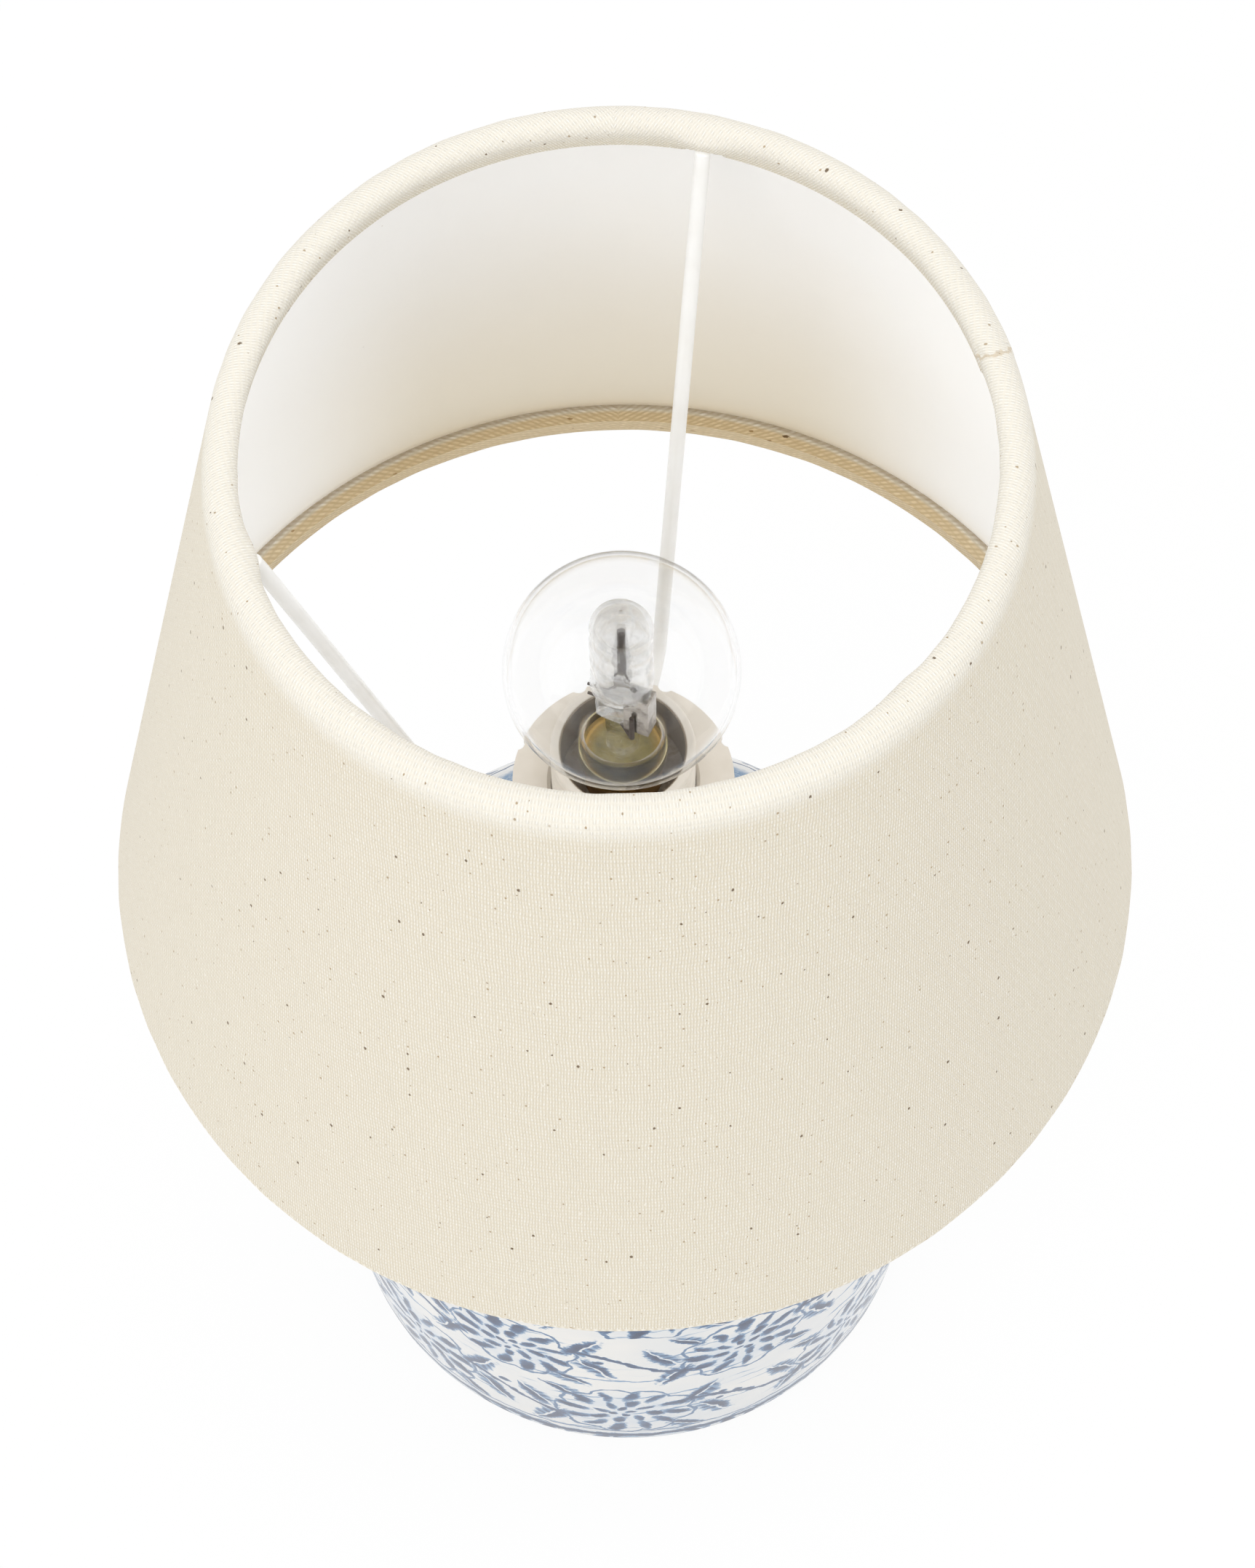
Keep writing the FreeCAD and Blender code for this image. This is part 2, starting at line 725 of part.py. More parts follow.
def wire_tunnel(centre):
    """The space in a hem for its wire ring."""
    radius, height = centre
    return Part.makeTorus(radius, ring_wire_radius + ring_wire_gap, Vector(0, 0, height))


def top_hem():
    """The upper rolled hem, cut away round the end of each arm."""
    solid = hem(shade_top, -1, top_hem_thickness, top_hem_height)
    solid = solid.cut(wire_tunnel(top_ring_centre()))
    tool = arm_solid(arm_radius + arm_notch_clearance)
    for bearing in arm_bearing_degrees.values():
        solid = solid.cut(placed_arm(tool, bearing))
    return solid


def bottom_hem():
    """The lower rolled hem."""
    solid = hem(shade_bottom, 1, bottom_hem_thickness, bottom_hem_height)
    return solid.cut(wire_tunnel(bottom_ring_centre()))


# ---- Bulb --------------------------------------------------------------------------------
def bulb_wall(inset):
    """Radii and heights of the bulb's outline, or of one set inside it.

    The neck's bend is a circle that touches both the upright neck and the ball.
    """
    neck = bulb_neck_radius - inset
    ball = bulb_radius - inset
    bend_height = cap_top + bulb_neck_straight
    rise = bulb_centre - bend_height
    bend = (rise ** 2 - ball ** 2 + neck ** 2) / (2 * (ball - neck))
    across = math.atan2(neck + bend, rise)
    touch = (ball * math.sin(across), bulb_centre - ball * math.cos(across))
    half = (math.pi / 2 - across) / 2
    middle = (neck + bend - bend * math.cos(half), bend_height + bend * math.sin(half))
    side = (ball, bulb_centre)
    return neck, bend_height, middle, touch, side, (0, bulb_centre + ball)


def bulb_glass():
    """The clear round bulb, blown hollow."""
    solids = []
    for inset in (0, bulb_glass_thickness):
        neck, bend_height, middle, touch, side, pole = bulb_wall(inset)
        outline = Outline(0, stem_bottom).line(neck, stem_bottom).line(neck, bend_height)
        solids.append(outline.arc(middle, touch).arc(side, pole).turned())
    return solids[0].cut(solids[1])


def bulb_cap():
    """The bulb's metal screw cap: toe, thread, flare and skirt."""
    outer = Outline(0, cap_bottom).line(cap_toe_radius, cap_bottom)
    outer.line(cap_thread_radius, cap_bottom + cap_toe_height)
    outer.line(cap_thread_radius, cap_thread_top)
    outer.line(cap_skirt_radius, cap_skirt_bottom)
    outer.line(cap_skirt_radius, cap_top).line(0, cap_top)
    inner = Outline(0, cap_bottom).line(cap_toe_radius - cap_thickness, cap_bottom)
    inner.line(cap_thread_radius - cap_thickness, cap_bottom + cap_toe_height)
    inner.line(cap_thread_radius - cap_thickness, cap_thread_top)
    inner.line(cap_skirt_radius - cap_thickness, cap_skirt_bottom)
    inner.line(cap_skirt_radius - cap_thickness, cap_top).line(0, cap_top)
    return outer.turned().cut(inner.turned())


def bulb_insulator():
    """The glassy insulator that closes the cap's toe."""
    inside = cap_toe_radius - cap_thickness - cap_gap
    bottom = cap_bottom - insulator_height
    top = cap_bottom + insulator_inside
    outline = Outline(0, bottom).line(insulator_tip_radius, bottom)
    outline.line(cap_toe_radius, cap_bottom - cap_gap).line(inside, cap_bottom)
    return outline.line(inside, top).line(0, top).turned()


def bulb_contact():
    """The domed centre contact under the insulator."""
    top = cap_bottom - insulator_height
    outline = Outline(0, top).line(contact_radius, top)
    return outline.quarter(0, contact_tip, upright_first=True).turned()


def bulb_stem():
    """The glass stem: a flare from the neck, a tube, and a flat pinch on top."""
    tube_inside = stem_tube_radius - stem_wall
    flare_inside = stem_flare_radius - stem_wall
    outline = Outline(flare_inside, stem_bottom).line(stem_flare_radius, stem_bottom)
    outline.quarter(stem_tube_radius, stem_flare_top, upright_first=False)
    outline.line(stem_tube_radius, stem_tube_top).line(tube_inside, stem_tube_top)
    outline.line(tube_inside, stem_flare_top)
    outline.quarter(flare_inside, stem_bottom, upright_first=True)
    pinch = block(
        stem_pinch_width, stem_pinch_thickness, stem_pinch_height, 0, 0, stem_tube_top)
    return outline.turned().fuse(pinch)


def leant(shape):
    """A piece of the burner moved from its own upright frame to its place in the bulb."""
    piece = shape.copy()
    piece.rotate(Vector(0, 0, 0), Vector(0, 0, 1), burner_turn)
    piece.rotate(Vector(0, 0, 0), Vector(1, 0, 0), -burner_lean)
    piece.translate(Vector(0, 0, burner_bottom))
    return piece


def burner_glass():
    """The halogen burner's glass: a flat pinch, a round tube, a dome and its sealed tip."""
    shoulder = burner_pinch_height + burner_tube_length
    dome_top = shoulder + burner_dome_height
    outside = Outline(0, burner_pinch_height).line(burner_radius, burner_pinch_height)
    outside.line(burner_radius, shoulder).quarter(0, dome_top, upright_first=True)
    inside_radius = burner_radius - burner_glass_thickness
    inside_bottom = burner_pinch_height + burner_glass_thickness
    inside_top = dome_top - burner_glass_thickness
    inside = Outline(0, inside_bottom).line(inside_radius, inside_bottom)
    inside.line(inside_radius, shoulder).quarter(0, inside_top, upright_first=True)
    pinch = block(
        burner_pinch_width, burner_pinch_thickness, burner_pinch_height, 0, 0, 0)
    tip_bottom = Vector(0, 0, inside_top)
    tip_height = burner_glass_thickness + burner_tip_height
    tip = Part.makeCylinder(burner_tip_radius, tip_height, tip_bottom)
    glass = outside.turned().fuse([pinch, tip]).cut(inside.turned())
    for side in lead_sides():
        glass = glass.cut(lead_rod(side, lead_radius + thread_gap))
    return leant(glass)


def lead_sides():
    """The heights of the two leads in the burner's own frame."""
    middle = burner_pinch_height / 2
    return [middle - lead_spacing / 2, middle + lead_spacing / 2]


def lead_rod(height, radius):
    """A rod where a lead runs out of the pinch's narrow side."""
    inside = -burner_pinch_width / 2 + lead_depth
    start = Vector(inside, 0, height)
    return rod(radius, start, Vector(inside - lead_length, 0, height))


def burner_leads():
    """The two short wires that stick out of the pinch."""
    leads = [lead_rod(side, lead_radius) for side in lead_sides()]
    return leant(Part.makeCompound(leads))


def burner_clip():
    """The bent metal clip that grips one end of the pinch."""
    inside_width = burner_pinch_thickness + 2 * clip_gap
    end = burner_pinch_width / 2 + clip_gap + clip_thickness
    middle = end - clip_reach / 2
    outer = block(clip_reach, inside_width + 2 * clip_thickness, clip_height, middle, 0, 0)
    inner_middle = middle - clip_thickness
    inner = block(clip_reach, inside_width, clip_height, inner_middle, 0, 0)
    return leant(outer.cut(inner))


def support_wire():
    """The wire that carries the burner: from the stem's pinch up to the clip's face."""
    face = burner_pinch_thickness / 2 + clip_gap + clip_thickness + support_wire_radius + weld_gap
    x = burner_pinch_width / 2 - clip_reach / 2
    top = Part.Vertex(Vector(x, -face, clip_height / 2))
    low = Part.Vertex(Vector(x, -face, -support_knee_drop))
    foot = Vector(0, 0, stem_top + support_wire_radius)
    knee = leant(low).Point
    upper = rod(support_wire_radius, knee, leant(top).Point)
    lower = rod(support_wire_radius, foot, knee)
    joint = Part.makeSphere(support_wire_radius, knee)
    return upper.fuse([lower, joint])


def filament():
    """The coiled filament, kept as a plain bar on two legs."""
    leg_bottom = burner_pinch_height + burner_glass_thickness + filament_leg_radius
    bar_bottom = leg_bottom + filament_leg_above_pinch
    bar = Part.makeCylinder(filament_radius, filament_length, Vector(0, 0, bar_bottom))
    half = filament_leg_spacing / 2
    legs = []
    for side in (-1, 1):
        foot = Vector(side * half, 0, leg_bottom)
        legs.append(rod(filament_leg_radius, foot, Vector(0, 0, bar_bottom + filament_radius)))
    return leant(bar.fuse(legs))


def pieces():
    """Every piece of the lamp by name."""
    found = {
        "felt_pad": felt_pad(),
        "jar_body": jar_body(),
        "cord_bush": cord_bush(),
        "jar_lid": jar_lid(),
        "lamp_rod": lamp_rod(),
        "cushion_washer": cushion_washer(),
        "base_washer": base_washer(),
        "base_nut": base_nut(),
        "lid_washer": lid_washer(),
        "neck_sleeve": neck_sleeve(),
        "holder_cap": holder_cap(),
        "grub_screw": grub_screw(),
        "holder_body": holder_body(),
        "contact_insert": contact_insert(),
        "terminal_blocks": terminal_blocks(),
        "terminal_screws": terminal_screws(),
        "screw_shell": screw_shell(),
        "centre_contact": centre_contact(),
        "seat_ring": seat_ring(),
        "clamp_ring": clamp_ring(),
        "fitter_ring": fitter_ring(),
        "top_ring": wire_ring(top_ring_centre()),
        "bottom_ring": wire_ring(bottom_ring_centre()),
        "shade_cover": skin(0, cover_thickness),
        "shade_lining": skin(cover_thickness + lining_gap, lining_thickness),
        "top_hem": top_hem(),
        "bottom_hem": bottom_hem(),
        "bulb_glass": bulb_glass(),
        "bulb_cap": bulb_cap(),
        "bulb_insulator": bulb_insulator(),
        "bulb_contact": bulb_contact(),
        "bulb_stem": bulb_stem(),
        "burner_glass": burner_glass(),
        "burner_clip": burner_clip(),
        "burner_leads": burner_leads(),
        "support_wire": support_wire(),
        "filament": filament(),
    }
    for name, bearing in arm_bearing_degrees.items():
        found[name] = frame_arm(bearing)
    return found


os.makedirs("parts", exist_ok=True)
for name, shape in pieces().items():
    shape.exportStep(f"parts/{name}.step")
    volume = shape.Volume / 1000
    print(f"{name}: {len(shape.Solids)} solid(s), {volume:.3f} cm3, valid {shape.isValid()}")
print(f"shade from {shade_bottom:.1f} to {shade_top:.1f}, barrel mouth at {mouth:.1f}")
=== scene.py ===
"""Looks of the ginger jar lamp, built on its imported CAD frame.

The CAD gives every place and size. This script adds what the CAD leaves plain: the canvas with
its rolled rims, the lining, the frame's arms, the glazed jar and lid with their blue brushwork,
the lampholder's thread, the bulb's glass, and a material for every piece. Sizes are in
millimetres and become metres in the meshes. Z is up, and the viewer is on the -Y side.
"""

import math

import bpy
import numpy as np
from mathutils import Matrix, Vector


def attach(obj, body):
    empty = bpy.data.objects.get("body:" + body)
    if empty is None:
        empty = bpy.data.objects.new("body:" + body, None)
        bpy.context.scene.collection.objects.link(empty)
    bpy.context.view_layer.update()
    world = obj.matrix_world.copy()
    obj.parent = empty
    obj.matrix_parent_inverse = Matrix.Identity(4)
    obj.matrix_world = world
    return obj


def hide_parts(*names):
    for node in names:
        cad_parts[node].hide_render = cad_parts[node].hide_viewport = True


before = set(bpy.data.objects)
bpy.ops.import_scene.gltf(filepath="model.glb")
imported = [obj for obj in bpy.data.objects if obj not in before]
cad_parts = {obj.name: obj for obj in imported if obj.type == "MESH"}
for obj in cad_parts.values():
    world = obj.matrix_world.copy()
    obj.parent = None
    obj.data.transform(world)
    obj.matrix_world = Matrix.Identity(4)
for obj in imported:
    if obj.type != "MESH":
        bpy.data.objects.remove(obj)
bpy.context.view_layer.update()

MM = 0.001
TAU = 2 * math.pi

# ---- Sizes, in millimetres, as the CAD has them ------------------------------------------
shade_bottom, shade_top = 178.3, 341.3
shade_radius_bottom, shade_radius_top = 100.0, 69.6
top_hem_thickness, top_hem_height = 6.0, 7.0
bottom_hem_thickness, bottom_hem_height = 5.0, 7.5
cover_thickness, lining_gap, lining_thickness = 0.7, 0.05, 0.5
rim_seam = math.radians(16.5)   # azimuth of the join in the upper rim's fold

arm_radius, arm_knee_radius, arm_bend_radius = 1.45, 29.5, 6.0
arm_bearing_degrees = {"arm_back": 14.0, "arm_right": 134.0, "arm_left": 254.0}
ring_wire_radius, weld_gap = 1.5, 0.05
top_ring_radius, top_ring_height = 67.16, 338.3
fitter_radius, fitter_top = 21.0, 209.8

foot_bottom, foot_radius, foot_recess_radius, recess_top = 1.5, 62.6, 54.6, 18.1
belly_height, belly_radius = 84.0, 66.7
shoulder_rise, neck_radius, neck_fillet, neck_top, jar_wall = 36.0, 30.0, 3.0, 132.0, 5.0
floor_top = 24.1
cord_height, bush_seat_radius = 9.8, 6.5
rod_hole_radius = 5.4

lid_bottom, lid_side_top, lid_top = 124.0, 137.0, 153.0
lid_radius, lid_inner_radius, lid_crown_radius, lid_rim_rounding = 35.1, 30.6, 14.0, 1.5

holder_bottom, holder_mouth = 193.0, 227.0
barrel_radius, barrel_bore = 13.75, 11.8
holder_ledge, spigot_bottom, spigot_radius, ledge_bore = 195.0, 188.5, 12.05, 7.5
thread_pitch, thread_depth = 2.0, 0.55

ball_radius, ball_height, bulb_wall = 21.9, 259.0, 0.8
bulb_neck_radius, bulb_neck_top, bulb_glass_bottom = 8.05, 232.5, 226.0
stem_flare_radius, stem_bottom, stem_flare_top = 6.8, 226.0, 231.0
stem_radius, stem_tube_top, stem_top = 3.0, 233.5, 236.5
stem_pinch_width, stem_pinch_depth = 7.0, 2.4
burner_bottom, burner_turn, burner_lean = 239.0, math.radians(-25), math.radians(-8)
burner_pinch_width, burner_pinch_depth, burner_pinch_height = 11.0, 2.6, 12.0
burner_radius, burner_length, burner_dome, burner_tip_radius, burner_tip = 6.0, 21.0, 3.5, 1.1, 1.3
burner_wall = 1.0


# ---- Meshes ------------------------------------------------------------------------------
def surface(name, points, uv=None, around=True, closed=False, sharp_degrees=50):
    """A grid of points in millimetres as one smooth mesh piece.

    Rows run up the outside of the profile and columns run anticlockwise round the axis, so faces
    point outwards. A row whose points all meet is a pole and gets triangles. around joins the
    last column to the first, and closed joins the last row to the first. uv has one more column
    where around is true, and one more row where closed is true.
    """
    rows, columns = points.shape[:2]
    index = np.arange(rows * columns).reshape(rows, columns)
    pole = np.ptp(points, axis=1).max(axis=1) < 1e-7
    index[pole] = index[pole][:, :1]
    low = np.arange(rows if closed else rows - 1)
    left = np.arange(columns if around else columns - 1)
    high, right = (low + 1) % rows, (left + 1) % columns
    corners = np.stack([index[np.ix_(low, left)], index[np.ix_(low, right)],
                        index[np.ix_(high, right)], index[np.ix_(high, left)]], -1).reshape(-1, 4)
    kept = corners != np.roll(corners, -1, axis=1)
    used, loops = np.unique(corners[kept], return_inverse=True)
    totals = kept.sum(axis=1)
    mesh = bpy.data.meshes.new(name)
    mesh.vertices.add(len(used))
    mesh.vertices.foreach_set("co", (points.reshape(-1, 3)[used] * MM).astype(np.float32).ravel())
    mesh.loops.add(len(loops))
    mesh.loops.foreach_set("vertex_index", loops.astype(np.int32).ravel())
    mesh.polygons.add(len(totals))
    mesh.polygons.foreach_set("loop_start", (np.cumsum(totals) - totals).astype(np.int32))
    if uv is not None:
        corner_uv = np.stack([uv[np.ix_(low, left)], uv[np.ix_(low, left + 1)],
                              uv[np.ix_(low + 1, left + 1)], uv[np.ix_(low + 1, left)]], 2)
        corner_uv = corner_uv.reshape(-1, 4, 2)[kept]
        layer = mesh.uv_layers.new(name="UVMap")
        layer.data.foreach_set("uv", corner_uv.astype(np.float32).ravel())
    mesh.update(calc_edges=True)
    mesh.validate()
    mesh.shade_smooth()
    mesh.set_sharp_from_angle(angle=math.radians(sharp_degrees))
    piece = bpy.data.objects.new(name, mesh)
    bpy.context.scene.collection.objects.link(piece)
    return piece


def run(start, end, step):
    """Points on a straight run of a profile, about a step apart."""
    count = max(2, int(math.ceil(math.dist(start, end) / step)) + 1)
    return np.linspace(start, end, count)


def bend(centre, radius, first, last, count):
    """Points on a circular arc of a profile, between two angles in degrees.

    The radius may be a pair, (along r, along z), for a quarter of an ellipse.
    """
    angle = np.radians(np.linspace(first, last, count))
    radii = np.broadcast_to(radius, 2)
    return np.array(centre) + np.column_stack([radii[0] * np.cos(angle), radii[1] * np.sin(angle)])


def outline(*parts):
    """The parts of a profile joined end to end, without doubled points."""
    points = np.concatenate(parts)
    apart = np.ones(len(points), bool)
    apart[1:] = np.abs(np.diff(points, axis=0)).max(axis=1) > 1e-6
    return points[apart]


def path(start, *legs):
    """Straight runs of a profile from point to point: each leg is (radius, height, step)."""
    runs = []
    for *end, step in legs:
        runs.append(run(start, end, step))
        start = end
    return outline(*runs)


def unit(value):
    """A value held between 0 and 1."""
    return np.clip(value, 0, 1)


def eased(value):
    """Goes from 0 to 1 as the value does, level at both ends."""
    value = unit(value)
    return value * value * (3 - 2 * value)


def along(profile):
    """The length of the profile up to each of its points."""
    return np.concatenate([[0], np.cumsum(np.hypot(*np.diff(profile, axis=0).T))])


def angles(columns, whole=False):
    """Azimuths from the back, through the right of the picture's front, and round again."""
    return math.pi / 2 + np.linspace(0, TAU, columns + 1)[:None if whole else -1]


def turned(radius, height, azimuth):
    """Points of a surface of revolution: (radius cos a, radius sin a, height)."""
    radius, height, azimuth = np.broadcast_arrays(radius, height, azimuth)
    return np.stack([radius * np.cos(azimuth), radius * np.sin(azimuth), height], -1)


def lathe(name, profile, columns, closed=False, uv_radius=None):
    """A profile turned round the lamp's axis.

    With a uv_radius, u is the azimuth times that radius and v the length along the profile, both
    in millimetres, so a pattern keeps its size wherever the piece is about that wide.
    """
    points = turned(profile[:, :1], profile[:, 1:], angles(columns)[None])
    uv = None
    if uv_radius:
        length = along(np.vstack([profile, profile[:1]]) if closed else profile)
        across, up = np.meshgrid((angles(columns, True) - math.pi / 2) * uv_radius, length)
        uv = np.stack([across, up], -1)
    return surface(name, points, uv, closed=closed)


def bar(name, line, radius, side, dome):
    """A round bar along a line that lies in a plane, with domed ends.

    Each ring is line + radius (cos a normal + sin a side), where side is square to the plane.
    The domes are quarter ellipses, as deep as dome times the radius.
    """
    tangent = np.gradient(line, axis=0)
    tangent /= np.linalg.norm(tangent, axis=1, keepdims=True)
    swell = np.radians(np.linspace(0, 90, 6))[:-1]
    first = line[0] - tangent[0] * dome * radius[0] * np.cos(swell)[:, None]
    last = line[-1] + tangent[-1] * dome * radius[-1] * np.cos(swell[::-1])[:, None]
    centres = np.vstack([first, line[1:-1], last])
    spread = np.concatenate([radius[0] * np.sin(swell), radius[1:-1],
                             radius[-1] * np.sin(swell[::-1])])
    heading = np.vstack([np.repeat(tangent[:1], len(swell), 0), tangent[1:-1],
                         np.repeat(tangent[-1:], len(swell), 0)])
    sides = np.broadcast_to(side, heading.shape)
    normal = np.cross(sides, heading)
    turn = np.linspace(0, TAU, 25)[:-1][None, :, None]
    ring = np.cos(turn) * normal[:, None] + np.sin(turn) * sides[:, None]
    return surface(name, centres[:, None] + spread[:, None, None] * ring)


def wander(azimuth, seed, terms=5):
    """A smooth random wave round the axis, from -1 to 1: a few sines with random phases."""
    random = np.random.default_rng(seed)
    order = np.arange(2, 2 + terms)
    phase = random.uniform(0, TAU, terms)
    share = random.uniform(0.4, 1.0, terms)
    return (share * np.sin(order * azimuth[..., None] + phase)).sum(-1) / share.sum()


def placed(points, turn, lean=0.0, base=(0, 0, 0)):
    """Points turned about Z, then leant about X, then set on a base point."""
    matrix = np.array(Matrix.Rotation(lean, 3, "X") @ Matrix.Rotation(turn, 3, "Z"))
    return points @ matrix.T + np.array(base)


# ---- Materials ---------------------------------------------------------------------------
class Value:
    """A node's output socket. Operators on it add Math nodes."""

    def __init__(self, finish, socket):
        self.finish, self.socket = finish, socket

    def maths(self, operation, *values):
        return self.finish.node("ShaderNodeMath", {"operation": operation}, *values)

    def __add__(self, other): return self.maths("ADD", self, other)
    def __radd__(self, other): return self.maths("ADD", other, self)
    def __sub__(self, other): return self.maths("SUBTRACT", self, other)
    def __rsub__(self, other): return self.maths("SUBTRACT", other, self)
    def __mul__(self, other): return self.maths("MULTIPLY", self, other)
    def __rmul__(self, other): return self.maths("MULTIPLY", other, self)
    def __truediv__(self, other): return self.maths("DIVIDE", self, other)
    def __rtruediv__(self, other): return self.maths("DIVIDE", other, self)
    def __abs__(self): return self.maths("ABSOLUTE", self)
    def sin(self): return self.maths("SINE", self)
    def cos(self): return self.maths("COSINE", self)
    def floor(self): return self.maths("FLOOR", self)
    def fract(self): return self.maths("FRACT", self)
    def root(self): return self.maths("SQRT", self)
    def wrapped(self, period): return self.maths("WRAP", self, period / 2, -period / 2)
    def most(self, other): return self.maths("MAXIMUM", self, other)

    def step(self, start, end, low=0.0, high=1.0):
        """Eases from low to high as the value goes from start to end."""
        settings = {"interpolation_type": "SMOOTHSTEP"}
        return self.finish.node("ShaderNodeMapRange", settings, self, start, end, low, high)


class Finish:
    """A material: its node tree, and the shader that its values go into."""

    def __init__(self, name):
        self.material = bpy.data.materials.new(name)
        self.material.use_nodes = True
        self.tree = self.material.node_tree
        self.shader = self.tree.nodes["Principled BSDF"]

    def node(self, kind, settings=None, *values, output=0, **named):
        """Adds a node: its type, its settings first, then its sockets' values or links."""
        node = self.tree.nodes.new(kind)
        for setting, value in (settings or {}).items():
            if setting == "stops":
                stops = node.color_ramp.elements
                while len(stops) < len(value):
                    stops.new(0.5)
                for stop, (place, color) in zip(stops, value):
                    stop.position, stop.color = place, (*linear(color), 1)
            else:
                setattr(node, setting, value)
        sockets = dict(enumerate(values))
        sockets.update(named)
        for key, value in sockets.items():
            self.plug(value, node.inputs[key if isinstance(key, int) else key.replace("_", " ")])
        return Value(self, node.outputs[output])

    def plug(self, value, socket):
        """Links a value to a socket, or sets it. A tuple in a colour socket is in sRGB."""
        if isinstance(value, Value):
            self.tree.links.new(value.socket, socket)
        elif isinstance(value, tuple) and socket.type == "RGBA":
            socket.default_value = (*linear(value), 1)
        else:
            socket.default_value = value

    def shade(self, **sockets):
        """Sets the shader's sockets, by name, to values or links."""
        for name, value in sockets.items():
            self.plug(value, self.shader.inputs[name.replace("_", " ")])
        return self.material

    def place(self):
        """Where a point lies on the lamp, in millimetres."""
        point = self.node("ShaderNodeTexCoord", output="Object")
        return self.scaled(point, (1000, 1000, 1000))

    def scaled(self, vector, factors):
        return self.node("ShaderNodeVectorMath", {"operation": "MULTIPLY"}, vector, factors)

    def axes(self, vector):
        """The three parts of a vector, as values."""
        split = self.node("ShaderNodeSeparateXYZ", None, vector)
        return [Value(self, socket) for socket in split.socket.node.outputs]

    def joined(self, x, y, z=0.0):
        return self.node("ShaderNodeCombineXYZ", None, x, y, z)

    def cloth(self):
        """The piece's own UV map, in millimetres, as two values."""
        return self.axes(self.node("ShaderNodeUVMap", {"uv_map": "UVMap"}))[:2]

    def noise(self, vector, size, detail=2.0, rough=0.5, output=0):
        """Smooth noise whose lumps are about size millimetres across, from 0 to 1."""
        return self.node("ShaderNodeTexNoise", None, Vector=vector, Scale=1 / size,
                         Detail=detail, Roughness=rough, output=output)

    def cells(self, vector, size, output, dimensions="3D"):
        """Random cells about size across: the Distance to their points, or their Color."""
        return self.node("ShaderNodeTexVoronoi", {"voronoi_dimensions": dimensions},
                         Vector=vector, Scale=1 / size, output=output)

    def specks(self, vector, size, edge, part, chosen):
        """Dots at the points of some cells. Part of a cell's colour says if it is chosen."""
        pick = self.axes(self.cells(vector, size, "Color"))[part]
        return self.cells(vector, size, "Distance").step(*edge) * pick.step(*chosen)

    def blend(self, share, first, second, kind="MIX"):
        """A colour mixed from two, by a share from 0 to 1."""
        node = self.tree.nodes.new("ShaderNodeMix")
        node.data_type, node.blend_type, node.clamp_factor = "RGBA", kind, True
        for socket, value in ((0, share), (6, first), (7, second)):
            self.plug(value, node.inputs[socket])
        return Value(self, node.outputs[2])

    def ramp(self, value, *stops):
        return self.node("ShaderNodeValToRGB", {"stops": stops}, value)

    def bump(self, height, depth, strength):
        """A normal from a height that runs from 0 to 1, where 1 stands depth millimetres proud."""
        return self.node("ShaderNodeBump", None, Strength=strength, Distance=depth * MM,
                         Height=height)


def linear(color):
    """A colour written in sRGB, 0 to 255, as the shader's linear light."""
    parts = np.array(color[:3]) / 255
    return tuple(np.where(parts <= 0.04045, parts / 12.92, ((parts + 0.055) / 1.055) ** 2.4))


def dress(piece, material, body=None, replaces=()):
    """Gives a piece its material, and a new one its body and what it replaces."""
    piece.data.materials.clear()
    piece.data.materials.append(material)
    if body:
        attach(piece, body)
        if replaces:
            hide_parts(*replaces)
    return piece


